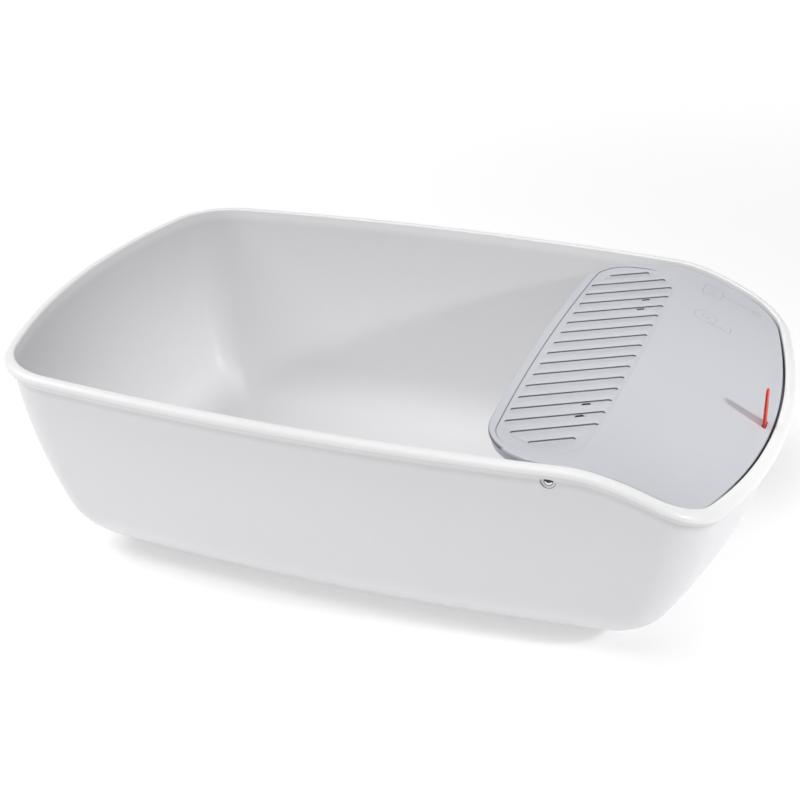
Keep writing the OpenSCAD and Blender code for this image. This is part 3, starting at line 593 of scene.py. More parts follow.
@dataclass(frozen=True)
class TubFinish(Moulding):
    """The tub's white moulding: a glossier lip over walls that are a little rougher and painted a little
    darker as painted shade, with painted shade under the lip and painted shadow on the ledge in the gap at
    the bay end.
    """

    name: str = "white_polypropylene"
    colour: Colour = srgb(243, 243, 244)
    roughness: float = 0.36
    grain: float = 0.7
    relief: float = 0.006
    mottle: float = 0.01
    scuffs: float = 0.0
    # colour of the walls below the lip, a little darker than the lip: painted shade
    wall: Colour = srgb(230, 230, 232)
    # colour of the painted shadow on the ledge in the gap at the bay end
    dark: Colour = srgb(36, 37, 40)
    rim_z: float = 191.0
    lip: float = 13.0
    polish: float = 0.03
    # strength of the painted shade on downward faces under the lip, and its depth range
    under: float = 0.2
    under_lip_shade_depth: tuple[float, float] = (22.0, 14.0)
    # strength, depth range and x range of the painted shadow in the gap at the bay end
    gap_shadow_strength: float = 0.95
    gap_shadow_top: tuple[float, float] = (5.0, 8.0)
    gap_shadow_foot: tuple[float, float] = (13.3, 12.7)
    gap_shadow_x: tuple[float, float] = (236.0, 256.0)
    dip: Dip = Dip()

    def make(self) -> Material:
        """Build the finish."""
        paint, base, rough, normal = self.start()
        x, _, z = paint.axes()
        drop = paint.ease(x, self.dip.start, self.dip.start + self.dip.run, self.dip.depth)
        depth = self.rim_z - drop - z
        low = paint.step(depth, self.lip * 0.35, self.lip)
        # the walls below the lip take the darker wall colour: painted shade
        painted_wall_shade = tuple(w / c for w, c in zip(self.wall, self.colour))
        base = paint.blend(low, base, paint.blend(1.0, base, painted_wall_shade, "MULTIPLY"))
        facing = paint.facing()
        # painted shade on faces that look down, in a band under the lip
        under = paint.step(paint.axes(facing)[2], 0.05, -0.4) * paint.step(depth, *self.under_lip_shade_depth)
        base = paint.tint(base, 1.0 - under * self.under)
        # painted shadow on the inner faces of the ledge, in the gap round the deck's bay end
        gap_shadow_band = (paint.step(depth, *self.gap_shadow_top) * paint.step(depth, *self.gap_shadow_foot)
                  * paint.step(x, *self.gap_shadow_x))
        middle = paint.vector("MULTIPLY", paint.place, (1.0, 1.0, 0.0))
        inner = paint.step(paint.vector("DOT_PRODUCT", facing, middle, out=1), 0.02, -0.02)
        base = paint.blend(gap_shadow_band * inner * self.gap_shadow_strength, base, self.dark)
        return paint.finish(Base_Color=base, Roughness=rough - self.polish * (1.0 - low), Normal=normal,
                            IOR=self.glass)


@dataclass(frozen=True)
class Band:
    """Pull band of ribbed elastomer."""

    name: str = "red_elastomer"
    colour: Colour = srgb(224, 62, 46)
    pale: Colour = srgb(244, 120, 94)
    pitch: float = 0.9

    def make(self) -> Material:
        """Build the finish."""
        paint = Paint(self.name)
        ribs = paint.sum("SINE", paint.axes()[1] * (2 * math.pi / self.pitch)) * 0.5 + 0.5
        worn = paint.step(paint.noise(2.4, 3.0), 0.45, 0.75)
        base = paint.blend(worn * 0.35 + ribs * 0.1, self.colour, self.pale)
        normal = paint.bump(ribs, 0.05, paint.bump(paint.noise(0.5), 0.02))
        return paint.finish(Base_Color=base, Roughness=0.46 + worn * 0.12, Normal=normal, IOR=1.5)


@dataclass(frozen=True)
class Rubber:
    """Soft rubber with a stippled skin and a little dust in it."""

    name: str
    colour: Colour = srgb(66, 67, 70)
    dusty: Colour = srgb(132, 130, 126)
    stipple: float = 1.1

    def make(self) -> Material:
        """Build the finish."""
        paint = Paint(self.name)
        dots = paint.add("ShaderNodeTexVoronoi", {"feature": "SMOOTH_F1"}, {
            "Vector": paint.stretch(1, 1, 1), "Scale": 1.0 / self.stipple})
        dust = paint.step(paint.noise(5.0, 3.0), 0.5, 0.8)
        base = paint.blend(dust * 0.18, self.colour, self.dusty)
        normal = paint.bump(dots, 0.12, paint.bump(paint.noise(0.4), 0.02))
        return paint.finish(Base_Color=base, Roughness=0.72 + dust * 0.14, Normal=normal)


@dataclass(frozen=True)
class Metal:
    """Drawn steel, bright or blackened, with lines along its axis and faint tarnish."""

    name: str
    colour: Colour = srgb(186, 188, 192)
    tarnish: Colour = srgb(128, 120, 110)
    roughness: float = 0.3
    lines: tuple[float, float, float] = (1.0, 0.04, 1.0)

    def bright(self, paint: Paint) -> Wire | float:
        """Where a painted reflection is laid on the steel, from 0 to 1; plain steel has none."""
        return 0.0

    def make(self) -> Material:
        """Build the finish."""
        paint = Paint(self.name)
        drawn = paint.noise(0.35, 2.0, paint.stretch(*self.lines))
        spots = paint.step(paint.noise(6.0, 4.0), 0.5, 0.75)
        # painted reflection: a pale, less metallic colour where bright is above 0
        bright = self.bright(paint)
        base = paint.blend(spots * 0.35 + drawn * 0.12, self.colour, self.tarnish)
        return paint.finish(Base_Color=paint.blend(bright, base, PALE), Metallic=1.0 - bright * 0.7,
                            Roughness=self.roughness + drawn * 0.16 + spots * 0.1,
                            Normal=paint.bump(drawn, 0.02))


@dataclass(frozen=True)
class RodFinish(Metal):
    """Blackened steel with a painted reflection: a pale crescent painted on both ends under the rod's middle.
    """

    name: str = "blackened_steel"
    colour: Colour = srgb(70, 71, 74)
    tarnish: Colour = srgb(46, 45, 44)
    # middle, patch, left_out and rise place the painted reflection's crescent on the rod's ends
    middle: tuple[float, float] = (176.0, 175.5)
    end_y: float = 192.0
    patch: tuple[float, float] = (3.35, 3.05)
    left_out: tuple[float, float] = (2.4, 2.8)
    rise: float = 1.3

    def bright(self, paint: Paint) -> Wire:
        """The painted reflection: a round patch less a smaller one that sits higher, on both ends."""
        x, y, z = paint.axes()
        across, up = x - self.middle[0], z - self.middle[1]
        patch = paint.step(paint.root(across, up), *self.patch)
        left_out = paint.step(paint.root(across, up - self.rise), *self.left_out)
        return patch * left_out * paint.step(up, 0.0, -0.8) * paint.step(abs(y), self.end_y - 1.0, self.end_y)


@dataclass(frozen=True)
class Card:
    """Wound grey-brown card with loose fibres and darker flecks."""

    name: str = "wound_card"
    colour: Colour = srgb(178, 146, 108)
    pale: Colour = srgb(205, 178, 140)
    fleck: Colour = srgb(122, 94, 66)

    def make(self) -> Material:
        """Build the finish."""
        paint = Paint(self.name)
        fibre = paint.noise(0.5, 3.0, paint.stretch(1.0, 0.2, 1.0))
        flecks = paint.step(paint.noise(1.3, 2.0), 0.6, 0.72)
        base = paint.blend(fibre * 0.5, self.colour, self.pale)
        base = paint.blend(flecks * 0.4, base, self.fleck)
        return paint.finish(Base_Color=base, Roughness=0.86 + fibre * 0.08,
                            Normal=paint.bump(fibre, 0.08))


@dataclass(frozen=True)
class Film:
    """Thin glossy film wound on a roll, with fine creases."""

    name: str = "bag_film"
    colour: Colour = srgb(142, 188, 160)
    thin: Colour = srgb(176, 214, 190)
    crease: Colour = srgb(214, 236, 222)

    def make(self) -> Material:
        """Build the finish."""
        paint = Paint(self.name)
        creases = paint.noise(2.6, 3.0, paint.stretch(1.0, 0.25, 1.0))
        thick = paint.noise(14.0, 2.0)
        base = paint.blend(thick * 0.5, self.colour, self.thin)
        base = paint.blend(paint.step(creases, 0.55, 0.75) * 0.3, base, self.crease)
        return paint.finish(Base_Color=base, Roughness=0.28 + creases * 0.25,
                            Normal=paint.bump(creases, 0.35))


@dataclass(frozen=True)
class StudioFloor:
    """Pale paper floor, lit a little from below."""

    name: str = "studio_paper"
    near: float = 0.25
    far: float = 0.56
    between: tuple[float, float] = (0.6, 1.9)

    def make(self) -> Material:
        """Build the finish."""
        paint = Paint(self.name)
        fibre = paint.noise(3.0, 3.0)
        base = paint.blend(fibre * 0.1, PALE, srgb(244, 244, 243))
        away = paint.vector("LENGTH", paint.place, out=1)
        glow = paint.blend(paint.step(away, *self.between), (self.near,) * 3, (self.far,) * 3)
        return paint.finish(Base_Color=base, Roughness=0.92 + fibre * 0.05, Emission_Color=glow,
                            Emission_Strength=1.0)


# ---- Tub -------------------------------------------------------------------------------------


@dataclass(frozen=True)
class TubForm:
    """Sizes and outlines of the tub, from the lip down to the floor."""

    length: float = 640.0
    width: float = 429.7
    height: float = 190.0
    foot_out: float = 1.0
    wall: float = 3.2
    lip_w: float = 9.4
    lip_rise: float = 5.0
    lip_fall: float = 11.0
    lip_edge_r: float = 2.0
    side_r: float = 1986.0
    bay_end_r: float = 562.0
    far_end_r: float = 528.0
    bay_corner_r: float = 41.0
    far_corner_r: float = 58.0
    base_corner_r: float = 20.0
    side_lean: float = 52.0
    bay_lean: float = 64.0
    far_lean: float = 55.0
    bilge_r: float = 46.0
    end_bow: float = 0.9
    side_bow: float = 0.3
    dip: Dip = Dip()

    @property
    def in_l(self) -> float:
        """Half length at the lip's inner edge."""
        return self.length / 2 - self.lip_w

    @property
    def in_w(self) -> float:
        """Half width at the lip's inner edge."""
        return self.width / 2 - self.lip_w

    def bilge(self, steps: int, radius: float, lift: float) -> list[tuple[float, float, float]]:
        """The inner or outer bilge, from the wall down: share of the depth, inset and lift."""
        share = self.bilge_r / self.height
        return [(1 - share * (1 - s), radius * (1 - c), lift * s) for s, c in quarter(steps, 1)]

    @staticmethod
    def fillet(side_c: Point, side_arm: float, end_c: Point, end_arm: float, hand: int) -> tuple:
        """Centre of the fillet between a side arc and an end arc; hand is 1 at the bay."""
        v = np.subtract(end_c, side_c)
        d = float(np.hypot(*v))
        a = (side_arm**2 - end_arm**2 + d * d) / (2 * d)
        h = math.sqrt(side_arm**2 - a * a)
        return tuple(np.asarray(side_c) + a * v / d + hand * h * np.array([v[1], -v[0]]) / d)

    def side_in(self, u: float) -> float:
        """How far a long side has come in at share u of the depth."""
        return self.side_lean * mix(u, u * u, self.side_bow)

    def outline(self, u: float, off: float, fil: float) -> list:
        """Closed outline at share u of the depth, off outside the inner face and fil inside it."""
        ends = mix(u, u * u, self.end_bow)
        bay_in, far_in = self.bay_lean * ends + fil, self.far_lean * ends + fil
        side_in = self.side_in(u) + fil
        rs, rb, rf = self.side_r + off - side_in, self.bay_end_r + off - bay_in, self.far_end_r + off - far_in
        cb = mix(self.bay_corner_r, self.base_corner_r, u) + off
        cf = mix(self.far_corner_r, self.base_corner_r, u) + off
        s = (0.0, self.in_w + off - side_in - rs)
        b = (self.in_l + off - bay_in - rb, 0.0)
        f = (-self.in_l - off + far_in + rf, 0.0)
        pb, pf = self.fillet(s, rs - cb, b, rb - cb, 1), self.fillet(s, rs - cf, f, rf - cf, -1)
        a1, a2, a4, a5 = bearing(b, pb), bearing(s, pb), bearing(s, pf), bearing(f, pf)
        a3 = mix(a2, 90.0, 0.45)
        return closed(arc(b, rb, 0, a1, 14, 0) + arc(pb, cb, a1, a2, 16) + arc(s, rs, a2, a3, 28)
                      + arc(s, rs, a3, a4, 20) + arc(pf, cf, a4, a5, 18) + arc(f, rf, a5, 180, 14))

    def side_y(self, x: float, u: float, off: float, fil: float) -> float:
        """Half width of the tub at x and share u of its depth."""
        inset = self.side_in(u) + fil
        r = self.side_r + off - inset
        return self.in_w + off - inset - r + math.sqrt(r * r - x * x)

    def rim(self, x: Any) -> Any:
        """Height of the lip's top at x."""
        return self.foot_out + self.height - self.dip.drop(x)


@dataclass(frozen=True)
class HingeLine:
    """The line that the deck turns on, and what sits on it."""

    x: float = 176.0
    z: float = 175.5
    rod_d: float = 7.0
    bush_d: float = 11.4
    collar_d: float = 15.0
    sunk: float = 1.3

    def end_y(self, form: TubForm) -> float:
        """Place across the tub of the bushes' and the rod's ends, a little inside the wall's face."""
        return self.wall_y(form, 0.0, True) - self.sunk

    def wall_y(self, form: TubForm, drop: float, outer: bool) -> float:
        """Place across the tub of the side wall's inner or outer face at a drop below the line."""
        depth = form.foot_out + form.height - self.z + drop
        share = float(smooth((depth - form.lip_rise) / form.lip_fall))
        off = mix(form.lip_w, form.wall, share) if outer else 0.0
        return form.side_y(self.x, (share if outer else 1.0) * depth / form.height, off, 0)


@dataclass
class TubShell:
    """The white tub: lip, leaning walls, bilge, floor, deck ledge and bulkhead rails."""

    form: TubForm
    hinge: HingeLine
    finish: TubFinish = TubFinish()
    steps: int = 14
    bulkhead_x: float = 186.0
    bulkhead_t: float = 3.0
    rail_h: float = 5.0
    rail_t: float = 2.0
    rail_gap: float = 0.3
    ledge_depth: float = 13.3
    ledge_w: float = 6.0
    ledge_x: float = 230.0
    ledge_blend: float = 24.0
    foot_d: float = 22.12
    foot_pocket: float = 1.2
    bush_gap: float = 0.22
    feet: tuple[tuple[float, float], ...] = ((-162, -75), (158, -75), (-162, 75), (158, 75))

    @property
    def walls(self) -> list[float]:
        """Shares of the depth at the rings of the plain wall, downwards."""
        top = 1 - self.form.bilge_r / self.form.height
        return [mix(0.17, top, i / self.steps) for i in range(self.steps + 1)]

    def rings(self) -> tuple[list, list]:
        """All rings of the tub's skin under a level rim.

        Returns:
            The rings, from the underside over the lip down to the floor, and each ring's share.
        """
        t, n = self.form, self.steps
        rings, shares = [], []

        def deep(u: float, off: float, fil: float, lift: float = 0.0) -> None:
            """Add a ring at share u of the depth."""
            z = t.foot_out + t.height * (1 - u) + lift
            rings.append([(x, y, z) for x, y in t.outline(u, off, fil)])
            shares.append(1 - u)

        def level(depth: float, off: float, u: float = 0.0) -> None:
            """Add a ring at a fixed depth under the lip."""
            rings.append([(x, y, t.foot_out + t.height - depth) for x, y in t.outline(u, off, 0)])
            shares.append(1.0)

        def ledge(depth: float) -> None:
            """Add a ring that stands in round the bay's end only."""
            p, q = t.outline(depth / t.height, 0, 0), t.outline(depth / t.height, -self.ledge_w, 0)
            ring = []
            for (a, b), (c, d) in zip(p, q):
                s = float(smooth((a - self.ledge_x) / self.ledge_blend))
                ring.append((mix(a, c, s), mix(b, d, s), t.foot_out + t.height - depth))
            rings.append(ring)
            shares.append(1.0)

        for u, fil, _ in reversed(t.bilge(n, t.bilge_r, 0.0)):
            deep(u, t.wall, fil)
        for u in reversed(self.walls):
            deep(u, t.wall, 0)
        for i in range(n, -1, -1):
            depth, s = t.lip_rise + t.lip_fall * i / n, float(smooth(i / n))
            level(depth, mix(t.lip_w, t.wall, s), s * depth / t.height)
        for s, c in quarter(n, 1):
            level(t.lip_rise * (1 - s), mix(t.lip_edge_r + 1, t.lip_w, c))
        for s, c in quarter(6):
            level(t.lip_edge_r * (1 - c), t.lip_edge_r * (1 - s))
        level(self.ledge_depth, 0, self.ledge_depth / t.height)
        ledge(self.ledge_depth + 0.2)
        ledge(self.ledge_depth + 3)
        level(self.ledge_depth + 10, 0, (self.ledge_depth + 10) / t.height)
        for u in self.walls:
            deep(u, 0, 0)
        for u, fil, lift in t.bilge(n, t.bilge_r - t.wall, t.wall):
            deep(u, 0, fil, lift)
        return rings, shares

    def section(self, x: float, gap: float) -> list:
        """Cross-section of the inner face at +Y, from the wall's top share down to the floor."""
        t = self.form
        steps = [(u, 0.0, 0.0) for u in self.walls] + t.bilge(self.steps, t.bilge_r - t.wall, t.wall + gap)
        rim = float(t.rim(x)) - t.foot_out
        return [(t.side_y(x, u, -gap, fil), t.foot_out + rim * (1 - u) + lift) for u, fil, lift in steps]

    def rail(self, x: float) -> Mesh:
        """A rail beside the bulkhead, down the walls and across the floor."""
        root, crest = self.section(x, -self.form.wall / 2), self.section(x, self.rail_h)
        half = root + [(-y, z) for y, z in reversed(root)]
        loop = half + [(-y, z) for y, z in crest] + list(reversed(crest))
        return prism("rail", loop, x, x + self.rail_t, "X")

    def build(self) -> Object:
        """Make the tub and hand it over."""
        coat = self.finish.make()
        rings, shares = self.rings()
        mesh = loft("tub_shell", rings)
        if len(mesh.vertices) != sum(map(len, rings)):
            raise ValueError("the tub's rings touch each other")
        set_share(mesh, [s for ring, s in zip(rings, shares) for _ in ring])
        tub = self.form.dip.bend("tub_shell", mesh, coat)
        y, r, z = self.form.width / 2, self.hinge.bush_d / 2 + self.bush_gap, self.hinge.z
        bores = [lathe("bore", [(r, a), (r, b)], 64, "Y", (self.hinge.x, 0, z))
                 for a, b in ((-y, -y / 2), (y / 2, y))]
        pockets = [lathe("pocket", [(self.foot_d / 2, -1), (self.foot_d / 2, 1 + self.foot_pocket)], 48, "Z",
                         (*place, 0)) for place in self.feet]
        cut(tub, together("cutters", bores + pockets))
        rails = [self.rail(x) for x in (self.bulkhead_x - self.rail_gap - self.rail_t,
                                        self.bulkhead_x + self.bulkhead_t + self.rail_gap)]
        tub.data = together("tub_shell", [tub.data] + rails)
        return seat(tub, coat, Body.TUB, Slot.WHITE, "tub")


# ---- Deck ------------------------------------------------------------------------------------


def tablet(x0: float, x1: float, y: float, r: float, bow: float) -> list:
    """Rounded rectangle from x0 to x1 and -y to y whose two long sides are bowed."""
    right, left = (x1 - bow, 0.0), (x0 + bow, 0.0)
    reach = math.sqrt((bow - r) ** 2 - (y - r) ** 2)
    a = math.degrees(math.atan2(y - r, reach))
    return closed(arc(right, bow, 0, a, 16, 0) + arc((right[0] + reach, y - r), r, a, 90, 16)
                  + arc((left[0] - reach, y - r), r, 90, 180 - a, 16, 0) + arc(left, bow, 180 - a, 180, 16))


@dataclass(frozen=True)
class Tread:
    """The sunk tread: its tablet, its slanting grooves and the windows over the hinge."""

    x0: float = 118.0
    x1: float = 200.0
    y: float = 179.0
    r: float = 31.0
    bow: float = 2300.0
    beach: float = 4.6
    floor_z: float = 187.0
    rim: float = 6.5
    end_rim: float = 10.0
    r_across: float = 36.0
    r_along: float = 48.0
    pitch: float = 20.6
    groove_w: float = 4.6
    groove_depth: float = 1.35
    row_y: float = 2.85
    angle: float = 30.0
    rows: int = 17
    wall: tuple[tuple[float, float, float], ...] = (
        (0.85, 1.0, 0.0), (0.45, 0.8, 0.08), (0.2, 0.62, 0.25), (0.0, 0.4, 0.55), (-0.2, 0.22, 0.78),
        (-0.5, 0.08, 0.94), (-0.8, -0.1, 1.02), (-0.85, -0.14, 5.0))
    window: tuple[tuple[float, float], ...] = ((-5.6, -4.0), (3.9, -4.0), (3.3, 1.3), (-2.6, 1.3))
    window_rows: tuple[int, ...] = (-6, -5, 4, 5)

    @property
    def mid(self) -> float:
        """Middle of the tread along the tub."""
        return (self.x0 + self.x1) / 2

    def line(self, row: int, x: float) -> float:
        """Place across the tub of a groove's middle line at x."""
        return self.row_y + self.pitch * row + (x - self.mid) * math.tan(math.radians(self.angle))

    def pocket(self) -> Mesh:
        """The shape that sinks the tread: an eased wall all round, but a gentle slope at the bay side."""
        return loft("pocket", [
            [(x, y, self.floor_z + up) for x, y in
             tablet(self.x0 + e, self.x1 - self.beach * b, self.y - e, self.r - e, self.bow)]
            for e, b, up in self.wall])

    def pin(self) -> Mesh:
        """Round cutter of one groove; its points with x >= 0 carry far = 1."""
        w, d = self.groove_w / 2, self.groove_depth
        profile = ((w - 0.35, -d), (w - 0.12, -d + 0.05), (w - 0.03, -d + 0.16), (w, -d + 0.35),
                   (w, -0.3), (w + 0.08, -0.1), (w + 0.28, 0.02), (w + 0.34, 3.0))
        turns = [mix(a, a + 180, i / 12) for a in (90, 270) for i in range(13)]
        rings = [[(x, y, self.floor_z + z) for x, y in turned(r, turns)] for r, z in profile]
        mesh = raw_skin("pin", rings)
        layer = mesh.attributes.new("far", "FLOAT", "POINT")
        layer.data.foreach_set("value", ([0.0] * 13 + [1.0] * 13) * len(profile))
        return mesh

    def border(self) -> Mesh:
        """Upright wall round the inner tablet that the grooves end on."""
        x0, x1, y = self.x0 + self.rim, self.x1 - self.rim, self.y - self.end_rim
        line = []
        for a, r, left, near in ((0, self.r_across, 0, 0), (90, self.r_along, 1, 0),
                                 (180, self.r_across, 1, 1), (270, self.r_along, 0, 1)):
            line += arc((x0 + r if left else x1 - r, r - y if near else y - r), r, a, a + 90, 16, 0)
        n = len(line)
        points = [(x, y + self.row_y, z) for z in (self.floor_z - 9, self.floor_z + 9) for x, y in line]
        return plain("border", points, [[i, (i + 1) % n, n + (i + 1) % n, n + i] for i in range(n)])

    def grooves(self, material: Material) -> Mesh:
        """Cutters of all grooves, each run from border to border along its slanting line."""
        helpers = [link("pin", self.pin()), link("border", self.border())]
        net = Shaper("slanting_grooves")
        rows = net.want("Rows", "Int", self.rows)
        angle = net.want("Angle", "Float", math.radians(self.angle))
        pitch, width, middle, level, shift_y = net.wants(
            "Float", Pitch=self.pitch * MM, Width=self.groove_w * MM, Middle=self.mid * MM,
            Floor=self.floor_z * MM, Shift=self.row_y * MM)
        pin, border = map(net.shape_of, net.wants("Object", Pin=helpers[0], Border=helpers[1]))
        first = net.join(X=middle, Y=shift_y - pitch * (rows - 1) * 0.5, Z=level)
        line = net.add("GeometryNodeMeshLine", {"mode": "OFFSET"},
                       {"Count": rows, "Start Location": first, "Offset": net.join(Y=pitch)})
        along = net.join(X=net.sum("COSINE", angle), Y=net.sum("SINE", angle))
        place = net.add("GeometryNodeInputPosition")

        def meet(hand: float) -> tuple[Wire, Wire]:
            """Where a row's line first meets the border, coming from far off on one side."""
            away = net.vector("ADD", place, net.scale(along, -hand))
            hit = net.add("GeometryNodeRaycast", None, {
                "Target Geometry": border, "Source Position": away,
                "Ray Direction": net.scale(along, hand)}, "Is Hit")
            return hit, net.out(hit, "Hit Position")

        (hit, start), (_, end) = meet(0.9), meet(-0.9)
        length = net.vector("LENGTH", net.vector("SUBTRACT", end, start), out=1)
        run = net.add("GeometryNodeStoreNamedAttribute", {"data_type": "FLOAT", "domain": "POINT"},
                      {"Geometry": line, "Name": "run", "Value": length - width})
        short = net.sum("LESS_THAN", length * hit, width * 2.0)
        kept = net.add("GeometryNodeDeleteGeometry", {"domain": "POINT"},
                       {"Geometry": run, "Selection": short})
        begun = net.add("GeometryNodeSetPosition", None, {"Geometry": kept, "Position": start})
        low = net.shift(begun, net.join(Z=level * -1.0))
        pins = net.copies(net.shift(low, net.scale(along, width * 0.5)), pin, net.join(Z=angle))
        real = net.add("GeometryNodeRealizeInstances", None, {0: pins})
        drawn = net.shift(real, net.scale(along, net.stored("far") * net.stored("run")))
        made = net.run("groove_cutters", drawn, material)
        mesh = made.data
        for helper in (made, *helpers):
            bpy.data.objects.remove(helper)
        return outwards(mesh)


@dataclass(frozen=True)
class DeckFinish(Moulding):
    """The deck's grey moulding: painted shadow on the walls of the grooves and the tread's border, inside the
    windows and on the bay-end sides, and two engraved pictograms on the ramp.
    """

    name: str = "grey_polypropylene"
    colour: Colour = srgb(202, 204, 210)
    roughness: float = 0.44
    groove_shadow: float = 0.78
    border_shadow: float = 0.6
    hole_shadow: float = 0.9
    hinge_x: float = 176.0
    hole: tuple[float, float] = (7.5, 6.5)
    hole_z: tuple[float, float] = (178.5, 179.5)
    shadow: Colour = srgb(40, 42, 47)
    mark: Colour = srgb(150, 152, 156)
    # x range where the upright sides at the bay end get painted shadow
    side_x: tuple[float, float] = (286.0, 300.0)
    tread: Tread = Tread()
    line_w: float = 0.45

    def pictograms(self, paint: Paint, x: Wire, y: Wire) -> Wire:
        """Distance in millimetres to the nearest line of the two pictograms."""

        def stroke(a: Point, b: Point) -> Wire:
            """Distance to a straight line from a to b."""
            dx, dy = b[0] - a[0], b[1] - a[1]
            px, py = x - a[0], y - a[1]
            t = paint.sum("MULTIPLY", (px * dx + py * dy) / (dx * dx + dy * dy), 1.0)
            t.socket.node.use_clamp = True
            return paint.root(px - t * dx, py - t * dy)

        def box(cx: float, cy: float, w: float, h: float, r: float) -> Wire:
            """Distance to the outline of a rounded box."""
            return abs(paint.box(x - cx, y - cy, w, h, r))

        def circle(cx: float, cy: float, r: float) -> Wire:
            """Distance to a circle's line."""
            return abs(paint.root(x - cx, y - cy) - r)

        lines = [box(226, 163, 17, 20, 4.5), stroke((234.5, 163), (262, 163)), circle(265.5, 163, 3.5)]
        lines += [stroke((221, 157 + 4 * k), (230, 157 + 4 * k)) for k in range(4)]
        lines += [circle(229, 112, 9.5), circle(229, 112, 3.2), stroke((229, 102.5), (252, 102.5)),
                  stroke((252, 102.5), (252, 112)), stroke((244, 102.5), (244, 106))]
        nearest = lines[0]
        for line in lines[1:]:
            nearest = paint.sum("MINIMUM", nearest, line)
        return nearest

    def make(self) -> Material:
        """Build the finish."""
        paint, base, rough, normal = self.start()
        x, y, z = paint.axes()
        t, up = self.tread, paint.axes(paint.facing())[2]
        floor, foot = t.floor_z, t.floor_z - t.groove_depth

        def band(low: float, low_full: float, high_full: float, high: float) -> Wire:
            """1 between two heights, falling to 0 just outside them."""
            return paint.step(z, low, low_full) * paint.step(z, high, high_full)

        # painted shadow, laid on the walls of the grooves, the tread's border, the windows' insides and the
        # bay-end sides
        upright = paint.step(abs(up), 0.95, 0.4)
        inside = paint.step(paint.box(x - t.mid, y, t.x1 - t.x0, 2 * t.y, t.r), 4.5, 3.5)
        groove = upright * inside * band(foot - 0.4, foot - 0.2, floor - 0.1, floor + 0.02)
        border = (paint.step(abs(up), 0.97, 0.75) * inside
                  * band(floor + 0.02, floor + 0.1, floor + 0.85, floor + 0.99))
        hole = (paint.step(abs(x - self.hinge_x), *self.hole) * inside
                * band(*self.hole_z, foot - 0.2, foot - 0.1))
        # painted shadow on the upright sides at the bay end, which face the gap to the tub
        end = upright * paint.step(x, *self.side_x)
        walls = groove * self.groove_shadow + border * self.border_shadow + hole * self.hole_shadow + end
        base = paint.blend(walls, base, self.shadow)
        mark = (paint.step(self.pictograms(paint, x, y), self.line_w, self.line_w * 0.4)
                * paint.step(up, 0.2, 0.6))
        base = paint.blend(mark * 0.35, base, self.mark)
        return paint.finish(Base_Color=base, Roughness=rough + walls * 0.2 + mark * 0.15,
                            Normal=paint.bump(1.0 - mark, 0.25, normal), IOR=self.glass)


